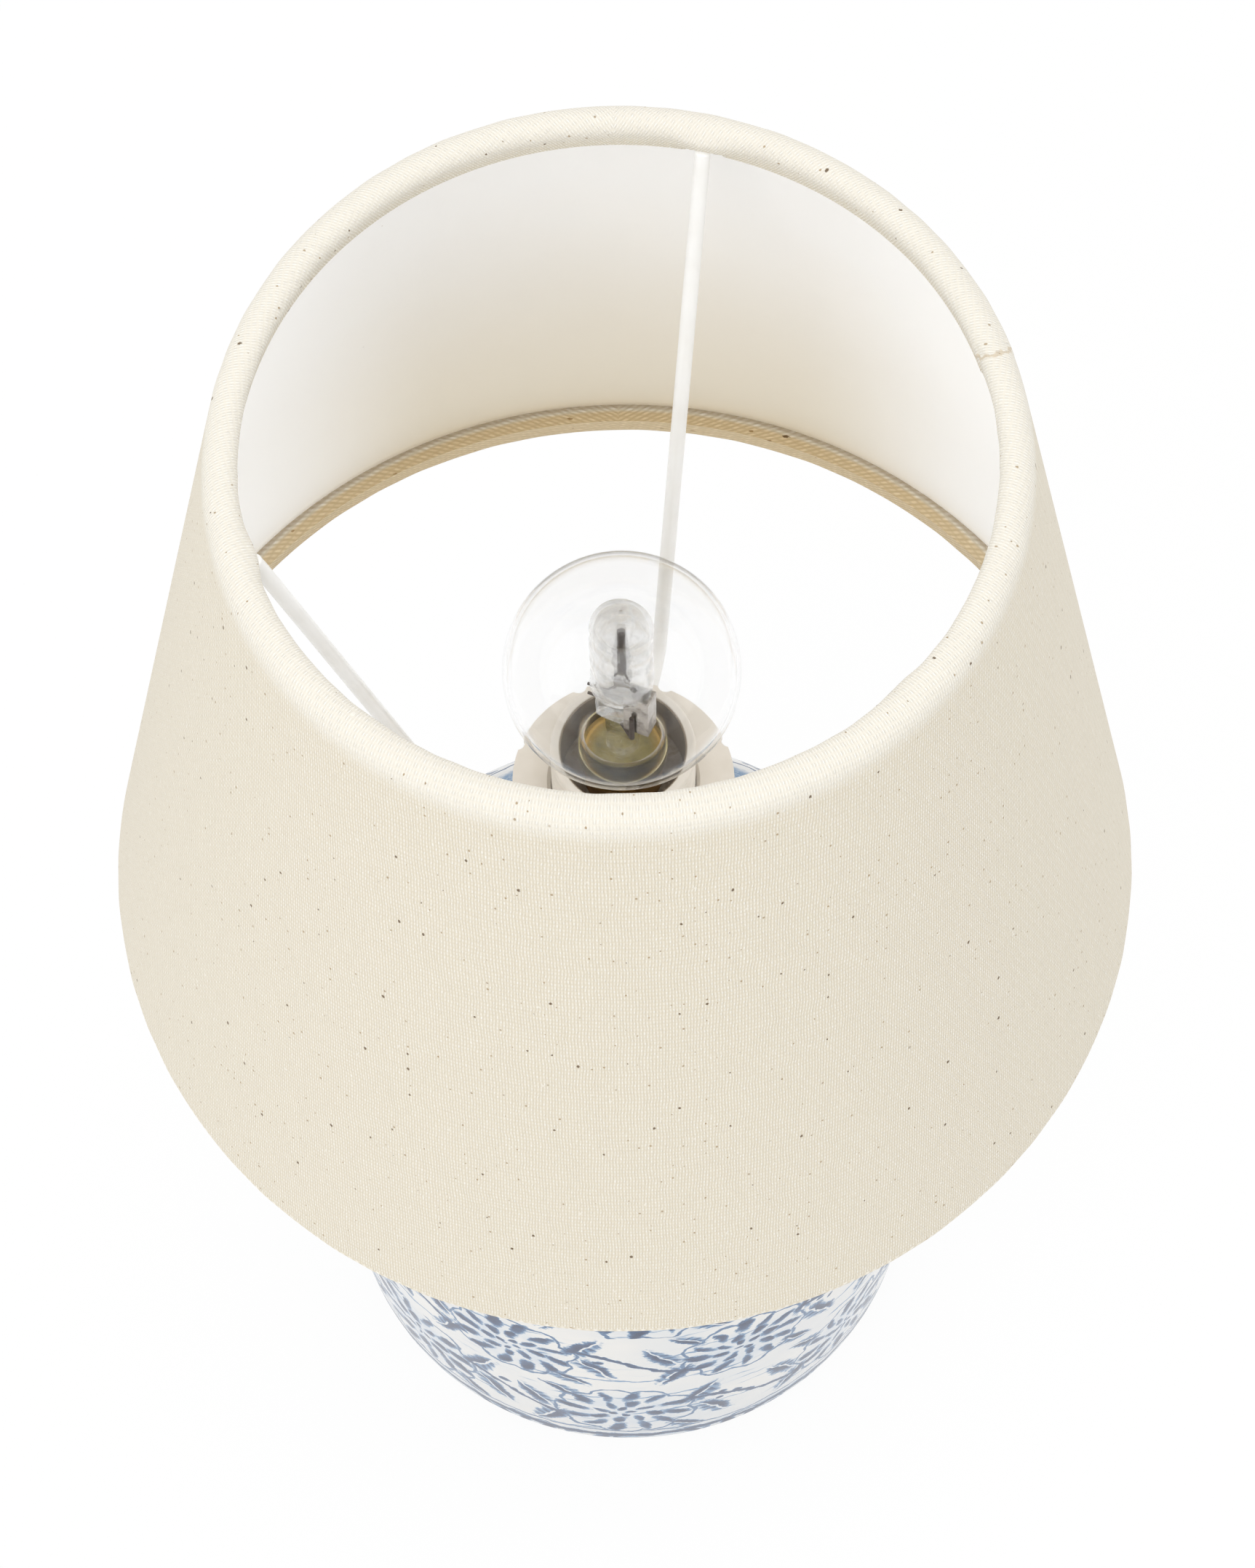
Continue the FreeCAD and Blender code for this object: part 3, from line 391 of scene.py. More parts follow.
# ---- Canvas ------------------------------------------------------------------------------
def canvas_finish():
    """Natural cotton canvas in a two-and-one twill, with seed flecks and the upper rim's join.

    The warp's threads are 0.56 mm apart and the rows of weft 1.1 mm apart, and each row's floats
    lie one thread further on, which gives the fine diagonal. It also carries painted light: painted
    shade between the threads, a painted lighter upper rim, and painted shade at the back of the
    lower hem's inner edge.
    """
    finish = Finish("cotton_canvas")
    across, up = finish.cloth()
    flat = finish.joined(across, up)
    sway = finish.noise(flat, 9.0) - 0.5
    ripple = finish.noise(flat, 1.6, 1.0) - 0.5
    warp_pitch, weft_pitch = 0.56, 1.1
    warp = (across + sway * 0.9 + ripple * 0.22) / warp_pitch
    weft = (up + sway * 0.6 - ripple * 0.3) / weft_pitch
    thread, row = warp.floor(), weft.floor()
    over = ((thread + row) / 3).fract().step(0.55, 0.45)
    across_thread = 1 - abs(warp.fract() - 0.5) * 2
    across_row = 1 - abs(weft.fract() - 0.5) * 2
    float_height = ((thread + weft) * (TAU / 3) + 1.0).sin() * 0.5 + 0.5
    height = across_thread.step(0, 0.9) * (0.62 + float_height * 0.38) * (0.75 + 0.25 * over)
    height = height * (0.35 + 0.65 * across_row.step(0, 0.7))
    slub = finish.noise(finish.joined(across / 0.5, up / 7), 1.0, 3.0, 0.65)
    slub = slub * 0.5 + finish.noise(finish.joined(across / 8, up / 0.9), 1.0, 3.0, 0.65) * 0.5
    grain = finish.noise(flat, 0.9, 2.0, 0.7)
    base = finish.ramp(slub * 0.5 + grain * 0.5,
                       (0.32, (236, 230, 217)), (0.5, (245, 240, 229)), (0.68, (252, 250, 243)))
    # Painted shade: the gaps between the threads are painted a darker tan.
    woven = finish.blend((1 - height) * 0.78, base, (206, 195, 171))
    x, y, z = finish.axes(finish.place())
    # Painted light: the rolled upper rim is painted lighter and whiter, where it faces up to the
    # lamps.
    rolled = z.step(shade_top - 6.5, shade_top - 1.5)
    woven = finish.blend(rolled * 0.4, woven, (243, 242, 237))
    nub = seed_flecks(finish, across + 57, up + 41, 3.0, 0.05, 0.4)
    speck = seed_flecks(finish, across, up, 2.0, 0.11, 0.26)
    mark = seed_flecks(finish, across + 31, up + 17, 4.5, 0.10, 0.38)
    colour = woven
    for share, tint in ((nub * 0.4, (252, 249, 240)), (speck * 0.75, (160, 130, 86)),
                        (mark * 0.9, (100, 76, 46)), (rim_join(finish) * 0.45, (188, 162, 120))):
        colour = finish.blend(share, colour, tint)
    inset = shade_radius(z) - (x * x + y * y).root()
    hem_top = shade_bottom + bottom_hem_height
    # Painted shade: at the back, the lower hem's inner face is painted a darker, warmer tan.
    rear = y.step(10, 75)
    fold = inset.step(2.2, 3.2) * z.step(hem_top + 1.2, hem_top + 0.4) * rear
    colour = finish.blend(fold, colour, (249, 233, 205), "MULTIPLY")
    # Painted shade: a thin dark line where the lower hem's top meets the lining, at the back only.
    hem_edge_shade = inset.step(0.9, 1.2) * inset.step(2.5, 1.7) * abs(z - hem_top).step(0.8, 0.5) * rear
    colour = finish.blend(hem_edge_shade * (0.2 + 0.5 * grain), colour, (150, 122, 82))
    fuzz = finish.noise(flat, 0.28)
    relief = height * 0.8 + fuzz * 0.2 + speck * 0.3 + nub * 0.3
    return finish.shade(Base_Color=colour, Roughness=0.93, Specular_IOR_Level=0.15,
                        Sheen_Weight=0.15, Sheen_Roughness=0.5,
                        Normal=finish.bump(relief, 0.2, 0.9))


def seed_flecks(finish, across, up, size, chance, radius):
    """Small ragged marks, each about a point in a few of the cells of a grid, in millimetres."""
    spot = finish.joined(across, up * 0.7)
    away = finish.cells(spot, size, "Distance", "2D") * size
    pick, scale = finish.axes(finish.cells(spot, size, "Color", "2D"))[:2]
    ragged = finish.noise(finish.joined(across, up), 0.3)
    out = (away + (ragged - 0.5) * radius) / (radius * (0.35 + scale * 0.65))
    return pick.step(1 - chance, 1.004 - chance) * out.step(1.0, 0.6)


def rim_join(finish):
    """The thin ragged line where the fold over the upper rim meets its own start."""
    place = finish.place()
    x, y, z = finish.axes(place)
    cos, sin = math.cos(rim_seam), math.sin(rim_seam)
    beside = y * cos - x * sin + (finish.noise(place, 1.5, 3.0) - 0.5) * 2.2
    slant = beside + (z - shade_top) * 0.7 + 1.5
    near = (x * cos + y * sin).step(10, 20)
    return abs(slant).step(0.55, 0.15) * near * z.step(shade_top - 8, shade_top - 6.5)


def shade_radius(height, inset=0.0):
    """The shade's outer radius at a height, less an inset measured level."""
    share = (height - shade_bottom) / (shade_top - shade_bottom)
    return shade_radius_bottom + (shade_radius_top - shade_radius_bottom) * share - inset


def rim(edge, inward, thickness):
    """Half of a rolled rim's profile, from the outer face round to the inner one.

    The roll is half an ellipse as wide as the hem, whose middle is half a thickness in from the
    edge. inward is -1 if the shade lies below the edge, and 1 if it lies above.
    """
    level = edge + inward * thickness / 2
    angle = np.linspace(0, math.pi, 16)
    centre = shade_radius(level, thickness / 2)
    radius = centre + thickness / 2 * np.cos(angle)
    height = level - inward * thickness / 2 * np.sin(angle)
    lean = shade_radius(height) - shade_radius(level)
    return np.column_stack([radius + lean, height])


def canvas_shade():
    """The canvas: outer face, both rolled rims, and the inner side that the lining covers.

    The profile is a closed ring. Below each arm's end the upper hem's inner edge draws back in a
    slit, and above it bulges over the bar. The cloth is slack by a tenth of a millimetre or two,
    the upper rim is rolled a little thicker at the front, and it has the step where the fold's
    two ends meet. Its UV is the flat cloth: with s the sine of the cone's half angle, a point at
    radius r lies r / s from the cone's tip, at s times its azimuth.
    """
    columns = 720
    slit_depth, bulge_height, thicker_front = 2.9, 1.1, 1.4
    seam_radius, arm_end_radius = 66.0, 65.0
    top_inner = shade_top - top_hem_height
    bottom_inner = shade_bottom + bottom_hem_height
    top_roll = rim(shade_top, -1, top_hem_thickness)
    bottom_roll = rim(shade_bottom, 1, bottom_hem_thickness)[::-1]
    skin = cover_thickness
    profile = outline(
        run(bottom_roll[-1], top_roll[0], 4.0), top_roll,
        path(top_roll[-1],
             (shade_radius(top_inner, top_hem_thickness), top_inner, 0.8),
             (shade_radius(top_inner, skin), top_inner, 1.5),
             (shade_radius(bottom_inner, skin), bottom_inner, 12.0),
             (shade_radius(bottom_inner, bottom_hem_thickness), bottom_inner, 1.2),
             (*bottom_roll[0], 0.8)),
        bottom_roll)[:-1]
    azimuth = angles(columns)[None]
    radius, height = profile[:, :1], profile[:, 1:]
    outside = shade_radius(height) - radius < 0.3
    in_hem = height > top_inner - 0.1
    slack = 0.12 * wander(azimuth, 3) - 0.12
    radius = radius + np.where(outside, slack, 0.4 * slack)
    rolled = unit((height - top_inner) / 2.0) + unit((bottom_inner - height) / 2.0)
    radius = radius + 0.10 * rolled * wander(azimuth * 9, 11, 7)
    past_seam = azimuth - rim_seam
    seam = np.arctan2(np.sin(past_seam), np.cos(past_seam)) * seam_radius
    ragged = seam + 1.2 * np.sin(height * 1.9) + 0.5 * np.sin(radius * 3.1)
    fold = 0.28 * unit(ragged / 0.5) * unit(1 - ragged / 26)
    radius = radius + np.where(in_hem, fold * np.where(outside, 0.4, -1), 0)
    depth = unit((shade_radius(height) - radius) * 2 / top_hem_thickness - 1)
    front = unit(-np.sin(azimuth)) ** 2
    radius = radius - np.where(in_hem, thicker_front * depth * front, 0)
    for bearing in arm_bearing_degrees.values():
        side = (azimuth - math.radians(90 - bearing) + math.pi) % TAU - math.pi
        side *= arm_end_radius
        above = unit((height - top_inner - 0.6) / 1.6)
        slit = np.exp(-((side / (2.5 - 0.9 * above)) ** 4)) * (1 - above)
        bulge = np.exp(-((side / 4.5) ** 2)) * above * unit((shade_top - 0.3 - height) / 2)
        bulge = bulge * (1 - front)
        inner = in_hem & (shade_radius(height) - radius > top_hem_thickness / 2)
        radius = radius + np.where(inner, slit_depth * slit - bulge_height * bulge, 0)
    points = turned(radius, height, azimuth)
    points[..., 2] += np.where(height > shade_top - 3, 0.06 * wander(azimuth * 7, 23, 6) - 0.06, 0)
    half_angle = math.atan((shade_radius_bottom - shade_radius_top) / (shade_top - shade_bottom))
    from_tip = shade_radius_bottom / math.sin(half_angle) - along(np.vstack([profile, profile[:1]]))
    opened = (angles(columns, True) - math.pi / 2 - math.pi) * math.sin(half_angle)
    uv = np.stack([from_tip[:, None] * np.sin(opened), -from_tip[:, None] * np.cos(opened)], -1)
    piece = surface("canvas_shade", points, uv, closed=True)
    return dress(piece, canvas_finish(), "shade",
                 ("shade_cover", "top_hem", "bottom_hem"))


def lining_finish():
    """White film glued inside the canvas: satin, with the weave just telling through it.

    Its faint glow is painted light: an emission that stands in for daylight through the cloth,
    dimmer at the back and brighter at the two sides. The film is also painted darker and warmer
    towards the bottom, as painted shade, less so at the sides.
    """
    finish = Finish("shade_lining")
    place = finish.place()
    x, _, height = finish.axes(place)
    # side marks the film's two sides, which take more of the painted glow and less of the painted
    # shade.
    side = (abs(x) / 84).step(0.4, 0.95)
    cloudy = finish.noise(place, 16.0, 3.0)
    weave = finish.noise(place, 0.8, 1.0)
    # Painted shade: the film is painted darker and warmer towards the bottom.
    low = height.step(shade_top - 16, shade_bottom + 9)
    colour = finish.blend(low * (0.95 - 0.9 * side), (252, 252, 252), (236, 226, 205))
    colour = finish.blend(cloudy * 0.10, colour, (236, 222, 208))
    speck = finish.specks(place, 4.0, (0.05, 0.03), 1, (0.985, 0.987))
    colour = finish.blend(speck * 0.5, colour, (120, 108, 92))
    # Painted light: the film glows, dim at the back and bright at the two sides.
    glow = finish.blend(side, (128, 122, 112), (252, 254, 255))
    return finish.shade(Base_Color=colour, Roughness=0.42 + cloudy * 0.12,
                        Specular_IOR_Level=0.35, Emission_Color=glow, Emission_Strength=0.16,
                        Normal=finish.bump(cloudy * 0.7 + weave * 0.3, 0.12, 0.35))


def lining():
    """The film from hem to hem, a little slack between its glue lines."""
    top, bottom = shade_top - top_hem_height, shade_bottom + bottom_hem_height
    back = cover_thickness + lining_gap
    front = back + lining_thickness
    inner = run((shade_radius(top, front), top), (shade_radius(bottom, front), bottom), 6.0)
    outer = run((shade_radius(bottom, back), bottom), (shade_radius(top, back), top), 20.0)
    profile = outline(inner, outer)
    azimuth = angles(360)[None]
    radius, height = profile[:, :1], profile[:, 1:]
    share = (height - bottom) / (top - bottom)
    slack = -0.22 * (1 + wander(azimuth + share * 0.4, 5, 6)) * np.sin(math.pi * share)
    facing = shade_radius(height) - radius > front - 0.1
    points = turned(radius + np.where(facing, slack, 0), height, azimuth)
    return dress(surface("lining_film", points, closed=True), lining_finish(), "shade",
                 ("shade_lining",))


# ---- Frame of the shade ------------------------------------------------------------------
def enamel_finish():
    """White stoved enamel, slightly orange-peeled, a touch warmer where it pools."""
    finish = Finish("enamel")
    place = finish.place()
    peel = finish.noise(place, 1.3)
    patch = finish.noise(place, 12.0)
    colour = finish.blend(patch.step(0.35, 0.75), (252, 252, 251), (246, 245, 242))
    return finish.shade(Base_Color=colour, Roughness=0.26 + peel * 0.12, Coat_Weight=0.25,
                        Coat_Roughness=0.2, Normal=finish.bump(peel, 0.05, 0.4))


def arm_line():
    """The arm's centre line in the XZ plane: level from the fitter, a bend, then straight up.

    It leans towards the upper ring as the CAD's does, and stops inside the upper hem.
    """
    into_hem, into_fitter = 2.2, 0.3
    level = fitter_top - arm_radius
    knee = np.array([arm_knee_radius, level])
    to_ring = np.array([top_ring_radius, top_ring_height]) - knee
    reach = np.hypot(*to_ring)
    beside = arm_radius + ring_wire_radius + weld_gap
    lean = math.atan2(*to_ring) - math.asin(beside / reach)
    tangent = arm_bend_radius * math.tan((math.pi / 2 - lean) / 2)
    up = np.array([math.sin(lean), math.cos(lean)])
    bend_start, bend_end = knee - (tangent, 0), knee + up * tangent
    end = knee + up * ((shade_top - top_hem_height + into_hem - level) / math.cos(lean))
    middle = bend_start + (0, arm_bend_radius)
    return outline(run((fitter_radius - into_fitter, level), bend_start, 0.3),
                   bend(middle, arm_bend_radius, -90, -math.degrees(lean), 14),
                   run(bend_end, end, 3.0))


def frame_arms(material):
    """The three arms, each swollen by a bead of weld where it leaves the fitter."""
    line = arm_line()
    bead = np.exp(-(((line[:, 0] - fitter_radius) / 1.1) ** 2)) * (line[:, 1] < fitter_top)
    flat = np.column_stack([line[:, 0], np.zeros(len(line)), line[:, 1]])
    for name, bearing in arm_bearing_degrees.items():
        turn = math.radians(90 - bearing)
        side = np.array([math.sin(turn), -math.cos(turn), 0])
        radius = arm_radius - 0.02 + 0.3 * bead
        arm = bar(name + "_bar", placed(flat, turn), radius, side, dome=0.35)
        dress(arm, material, "shade", (name,))


# ---- Jar and lid -------------------------------------------------------------------------
class Brush:
    """Blue brushwork on a glaze, in the piece's own millimetres: u round it and v up it."""

    def __init__(self, finish, round_length):
        self.round_length = round_length
        across, up = finish.cloth()
        place = finish.place()
        first, second, _ = finish.axes(finish.noise(place, 5.0, output="Color"))
        unsteady = 3.4
        self.across = across + (first - 0.5) * unsteady
        self.up = up + (second - 0.5) * unsteady
        self.bristle = finish.noise(finish.scaled(place, (1, 1, 2.2)), 0.9, 3.0, 0.65)

    def lattice(self, count, rise, base):
        """The place about the nearest point of a half-drop lattice, and that point's number."""
        pitch = self.round_length / count
        row = ((self.up - base) / rise + 0.5).floor()
        shifted = self.across - (row / 2).fract() * pitch
        column = (shifted / pitch + 0.5).floor()
        x, y = shifted - column * pitch, self.up - base - row * rise
        own = ((row * 12.99 + column.wrapped(count) * 78.2).sin() * 437.6).fract()
        return x, y, own

    def stroke(self, distance, width):
        """Ink where a distance is under a width, with a bristly edge."""
        return (distance + (self.bristle - 0.5) * width * 0.9).step(width * 1.25, width * 0.45)

    def ring(self, height, width):
        """A line round the piece at a height."""
        return self.stroke(abs(self.up - height), width)

    def dabs(self, x, y, own, count, reach, half_length, half_width):
        """A ring of short fat strokes about a point, each with its own tone."""
        radius = (x * x + y * y).root().most(0.01)
        turn = y.maths("ARCTAN2", y, x) * (count / TAU) + own * 7 + radius * 0.03
        part, dab = turn.wrapped(1.0), (turn + 0.5).floor()
        tone = ((dab * 3.7 + own * 11).sin() * 91.7).fract()
        over = (part * radius * (TAU / count)) / (half_width * (0.7 + 0.5 * tone))
        out = (radius - reach - tone * 1.6) / half_length
        body = self.stroke((over * over + out * out).root(), 1.0)
        return body * (0.62 + 0.3 * tone + 0.28 * out + 0.2 * over)

    def leaf(self, x, y, angle, half_length, half_width):
        """A leaf-shaped stroke along an angle in degrees.

        It is dark on one side of its rib and hatched on the other.
        """
        cos, sin = math.cos(math.radians(angle)), math.sin(math.radians(angle))
        long = (x * cos + y * sin) / half_length
        short = (y * cos - x * sin) / half_width
        taper = (1.1 + 0.7 * long).most(0.4)
        body = self.stroke((long * long + short * short * taper).root(), 1.0)
        rib = abs(short).step(0.03, 0.18)
        hatch = ((long * 2.6 + abs(short) * 0.7).fract() - 0.5).step(-0.1, 0.2)
        dark = short.step(-0.15, 0.2)
        return body * rib * (0.30 + 0.62 * dark + 0.34 * hatch * (1 - dark))


def glaze_shader(finish, ink, wash):
    """Off-white glaze over the blue: ink is the line work and wash the thin tint, 0 to 1."""
    place = finish.place()
    cloudy = finish.noise(place, 24.0, 3.0)
    pooled = finish.noise(place, 2.2, 3.0, 0.6)
    white = finish.blend(cloudy.step(0.3, 0.75), (226, 224, 220), (214, 216, 218))
    depth = ink * (0.60 + 0.9 * pooled)
    blue = finish.ramp(depth, (0.0, (172, 190, 208)), (0.3, (100, 136, 172)),
                       (0.6, (42, 76, 118)), (1.0, (18, 44, 84)))
    colour = finish.blend(wash * 0.5, white, (176, 194, 214))
    colour = finish.blend(depth.step(0.03, 0.3), colour, blue)
    pin = finish.specks(place, 3.0, (0.07, 0.04), 2, (0.975, 0.98))
    colour = finish.blend(pin * 0.5, colour, (150, 150, 150))
    relief = finish.noise(place, 14.0) * 0.8 + ink * 0.12
    return finish.shade(Base_Color=colour, Roughness=0.16 + cloudy * 0.06 + ink * 0.05,
                        Specular_IOR_Level=0.42, Coat_Weight=0.12, Coat_Roughness=0.05,
                        Normal=finish.bump(relief, 0.5, 0.25))


def jar_finish(foot, shoulder, top):
    """A traditional peony scroll round the jar, between a foot border and a blue shoulder band.

    Blossoms stand on a half-drop lattice. A vine runs in a sine wave through each row of them,
    and its leaves fill the lattice between. Long broken lines run round the glaze behind. foot,
    shoulder and top are lengths up the profile.
    """
    finish = Finish("glazed_ceramic")
    brush = Brush(finish, TAU * belly_radius)
    count, rise = 8, 36.0
    pitch = brush.round_length / count
    x, y, own = brush.lattice(count, rise, foot + 22)
    vine = brush.stroke(abs(y - (x * (TAU / pitch)).sin() * 6.5) / 1.3, 0.8)
    grown = 1.1 - (own * 9.1).fract() * 0.2
    x, y = (x + (own - 0.5) * 5) * grown, (y + (own * 5.3).fract() - 0.5) * grown
    high = y / 1.14
    radius = (x * x + high * high).root()
    bloom = brush.dabs(x, high, own, 12, 10.2, 3.5, 1.75)
    bloom = bloom.most(brush.dabs(x, high, 1 - own, 8, 5.0, 2.4, 1.5))
    bloom = bloom.most(brush.dabs(x, high, own * 3, 4, 1.2, 1.3, 0.9))
    scallop = radius - 13.6 - abs((y.maths("ARCTAN2", high, x) * 4.5 + own * 20).cos()) * 1.8
    bloom = bloom.most(brush.stroke(abs(scallop), 0.5) * 0.45)
    vine = vine * radius.step(12.5, 14.5) * 0.75
    leaves = 0.0
    for aside, lift, tilt, size in ((17.0, 9.5, 62, 7.4), (19.5, -4.5, -58, 7.2),
                                    (13.5, -14.0, -38, 5.6)):
        for way, turn in ((1, 0), (-1, 180)):
            leaf = brush.leaf(x - way * aside, y - way * lift, tilt + turn, size, size * 0.42)
            leaves = leaf.most(leaves)
    berries = brush.dabs(x - 22.0, y - 3.0, own, 3, 1.7, 1.0, 1.2)
    ink = bloom.most(leaves).most(vine).most(berries)
    halo = radius.step(15.5, 7.0) * 0.8
    drift = finish.noise(finish.joined(brush.across, brush.up * 0.3), 34.0, 1.0)
    line = abs((brush.up * 0.23 + drift * 3.0).wrapped(1.0))
    broken = finish.noise(finish.joined(brush.across / 30, brush.up / 4), 1.0).step(0.5, 0.64)
    soft = line.step(0.42, 0.0) * broken
    ink = ink.most(brush.stroke(line * 4.3, 0.5) * broken * 0.3)
    border = (brush.ring(foot + 0.6, 1.3) * 0.8).most(brush.ring(foot + 4.6, 0.45) * 0.5)
    band = brush.ring(shoulder, 6.0) * (0.08 + 0.36 * brush.bristle)
    from_band = abs(brush.up - shoulder)
    edges = brush.stroke(abs(from_band - 9.0), 0.6) * 0.8
    collar = brush.ring(top - 6, 1.0)
    clear = from_band.step(10.0, 11.0)
    ink = (ink * clear).most(border).most(band).most(edges).most(collar)
    wash = halo.most(soft * 0.5).most(brush.up.step(foot + 7, foot) * 0.9)
    return glaze_shader(finish, ink, wash * finish.noise(finish.place(), 8.0).step(0.25, 0.6))


def belly_profile():
    """The jar's outside, from the foot's edge to the neck's rim.

    The belly is one long arc through the foot's radius and, square to the level, the widest
    radius at the belly's height. The shoulder is a quarter of an ellipse down to the neck.
    """
    foot_rounding, lip_rounding = 1.2, 2.0
    rise, reach = belly_height - foot_bottom, belly_radius - foot_radius
    radius = (rise ** 2 + reach ** 2) / (2 * reach)
    height = run((foot_bottom + foot_rounding, 0), (belly_height, 0), 2.0)[:, 0]
    side = belly_radius - radius + np.sqrt(radius ** 2 - (belly_height - height) ** 2)
    belly = np.column_stack([side, height])
    edge = bend((side[0] - foot_rounding, foot_bottom + foot_rounding), foot_rounding, -90, 0, 6)
    shoulder = bend((neck_radius, belly_height),
                    (belly_radius - neck_radius, shoulder_rise), 0, 88, 40)
    fillet_middle = (neck_radius + neck_fillet, shoulder[-1, 1] + neck_fillet)
    fillet = bend(fillet_middle, neck_fillet, 262, 180, 8)
    lip = bend((neck_radius - lip_rounding, neck_top - lip_rounding), lip_rounding, 0, 90, 8)
    return edge, belly, shoulder, fillet, lip


def jar():
    """The jar's glazed shell, outside and inside, with its foot ring and the recess under it."""
    edge, belly, shoulder, fillet, lip = belly_profile()
    inside, bore = belly_radius - jar_wall, neck_radius - jar_wall
    floor_fillet, recess_fillet, neck_bottom = 9, 3, 121
    outer = outline(edge, belly, shoulder, fillet, run(fillet[-1], lip[0], 3.0), lip)
    hollow = outline(
        path((bore + 1, neck_top), (bore, neck_top - 1, 0.5), (bore, neck_bottom, 3.0)),
        bend((bore, belly_height), (belly_radius - neck_radius, shoulder_rise - jar_wall),
             88, 0, 24),
        run((inside, belly_height), (inside, floor_top + floor_fillet), 8.0),
        bend((inside - floor_fillet, floor_top + floor_fillet), floor_fillet, 0, -90, 10),
        path((inside - floor_fillet, floor_top), (rod_hole_radius, floor_top, 8.0),
             (rod_hole_radius, recess_top, 3.0),
             (foot_recess_radius - recess_fillet, recess_top, 8.0)),
        bend((foot_recess_radius - recess_fillet, recess_top - recess_fillet), recess_fillet,
             90, 0, 8),
        run((foot_recess_radius, recess_top - recess_fillet),
            (foot_recess_radius, foot_bottom), 4.0))
    profile = outline(outer, hollow)
    lengths = along(outer)
    foot = lengths[len(edge)]
    shoulder_middle = lengths[len(edge) + len(belly) + len(shoulder) // 2]
    piece = lathe("glazed_jar", profile, 360, closed=True, uv_radius=belly_radius)
    cut_cord_hole(piece)
    return dress(piece, jar_finish(foot, shoulder_middle, lengths[-1]), "lamp_base",
                 ("jar_body",))


def cut_cord_hole(piece):
    """Bores the round hole in the back of the foot for the cord bush."""
    turn = np.linspace(0, TAU, 49)[:-1]
    near, far = 50.0, 70.0
    depth = np.array([near, near, far, far])[:, None]
    spread = np.array([0.0, bush_seat_radius, bush_seat_radius, 0.0])[:, None]
    rings = np.broadcast_arrays(spread * np.sin(turn), depth, cord_height + spread * np.cos(turn))
    cutter = surface("cord_hole_cutter", np.stack(rings, -1))
    hole = piece.modifiers.new("cord_hole", "BOOLEAN")
    hole.operation, hole.solver, hole.object = "DIFFERENCE", "EXACT", cutter
    depsgraph = bpy.context.evaluated_depsgraph_get()
    cut = bpy.data.meshes.new_from_object(piece.evaluated_get(depsgraph))
    piece.modifiers.clear()
    piece.data = cut
    bpy.data.objects.remove(cutter)


def lid_finish(lengths):
    """The lid's glaze: a ring of lappets on the dome, and borders round its side."""
    finish = Finish("glazed_lid")
    brush = Brush(finish, TAU * lid_radius)
    x, y = brush.across.wrapped(brush.round_length / 12), brush.up - lengths["dome"]
    petal = brush.stroke(abs((x * x * 0.6 + y * y * 0.16).root() - 2.6), 0.5)
    heart = brush.leaf(x, y, 90, 4.2, 1.1)
    ink = petal.most(heart).most(brush.ring(lengths["side"] + 3.2, 0.35) * 0.7)
    for border, width in (("side", 0.7), ("crown", 0.9), ("rim", 1.6)):
        ink = ink.most(brush.ring(lengths[border], width))
    wash = abs(y).step(7.0, 2.0) * 0.6
    return glaze_shader(finish, ink, wash)


def lid():
    """The lid: a skirt over the neck, a straight side, and a quarter-ellipse dome to its crown."""
    rounding, wall, rim_chamfer = lid_rim_rounding, 4.5, 0.6
    side_bottom = bend((lid_radius - rounding, lid_bottom + rounding), rounding, -90, 0, 8)
    side = run((lid_radius, lid_bottom + rounding), (lid_radius, lid_side_top), 1.0)
    dome = bend((lid_crown_radius, lid_side_top),
                (lid_radius - lid_crown_radius, lid_top - lid_side_top), 0, 90, 36)
    crown = run((lid_crown_radius, lid_top), (rod_hole_radius, lid_top), 1.5)
    outside = outline(side_bottom, side, dome, crown)
    under_crown, under_top, under_side = lid_crown_radius - 2, lid_top - wall, lid_side_top - 2
    inside = outline(
        path((rod_hole_radius, lid_top), (rod_hole_radius, under_top, 2.0),
             (under_crown, under_top, 3.0)),
        bend((under_crown, under_side),
             (lid_inner_radius - under_crown, under_top - under_side), 90, 0, 24),
        path((lid_inner_radius, under_side), (lid_inner_radius, lid_bottom + rim_chamfer, 3.0),
             (lid_inner_radius + rim_chamfer, lid_bottom, 1.0)))
    outer = along(outside)
    side_end = len(side_bottom) + len(side) - 1
    lengths = {"rim": outer[len(side_bottom)] + 1.0, "side": outer[side_end] - 3.5,
               "dome": outer[side_end + 15], "crown": outer[side_end + 33]}
    piece = lathe("glazed_lid", outline(outside, inside), 240, closed=True,
                  uv_radius=lid_radius)
    return dress(piece, lid_finish(lengths), "lamp_base", ("jar_lid",))


# ---- Lampholder --------------------------------------------------------------------------
def moulded_finish(name, colour, darker, bore=None):
    """Moulded plastic with a fine sparkle texture and faint flow marks.

    Inside a bore of that radius it is painted a darker brown like the insert that it holds, partly
    painted shade down the bore, with pale dust specks.
    """
    finish = Finish(name)
    place = finish.place()
    grain = finish.noise(place, 0.5, 3.0, 0.6)
    flow = finish.noise(finish.scaled(place, (1, 1, 0.3)), 6.0)
    shown = finish.blend(flow.step(0.3, 0.75), colour, darker)
    if bore:
        x, y, _ = finish.axes(place)
        # Painted shade: the bore's wall is painted darker than the plastic outside, with real dust
        # specks on it.
        within = (x * x + y * y).step((bore + 0.35) ** 2, (bore + 0.15) ** 2)
        dust = finish.cells(place, 0.7, "Distance").step(0.3, 0.15) * grain.step(0.45, 0.6)
        bore_shade_and_dust = finish.blend(dust * 0.8, (158, 143, 124), (218, 208, 192))
        shown = finish.blend(within, shown, bore_shade_and_dust)
    return finish.shade(Base_Color=shown, Roughness=0.46 + grain * 0.14, Specular_IOR_Level=0.4,
                        Normal=finish.bump(grain, 0.04, 0.5))


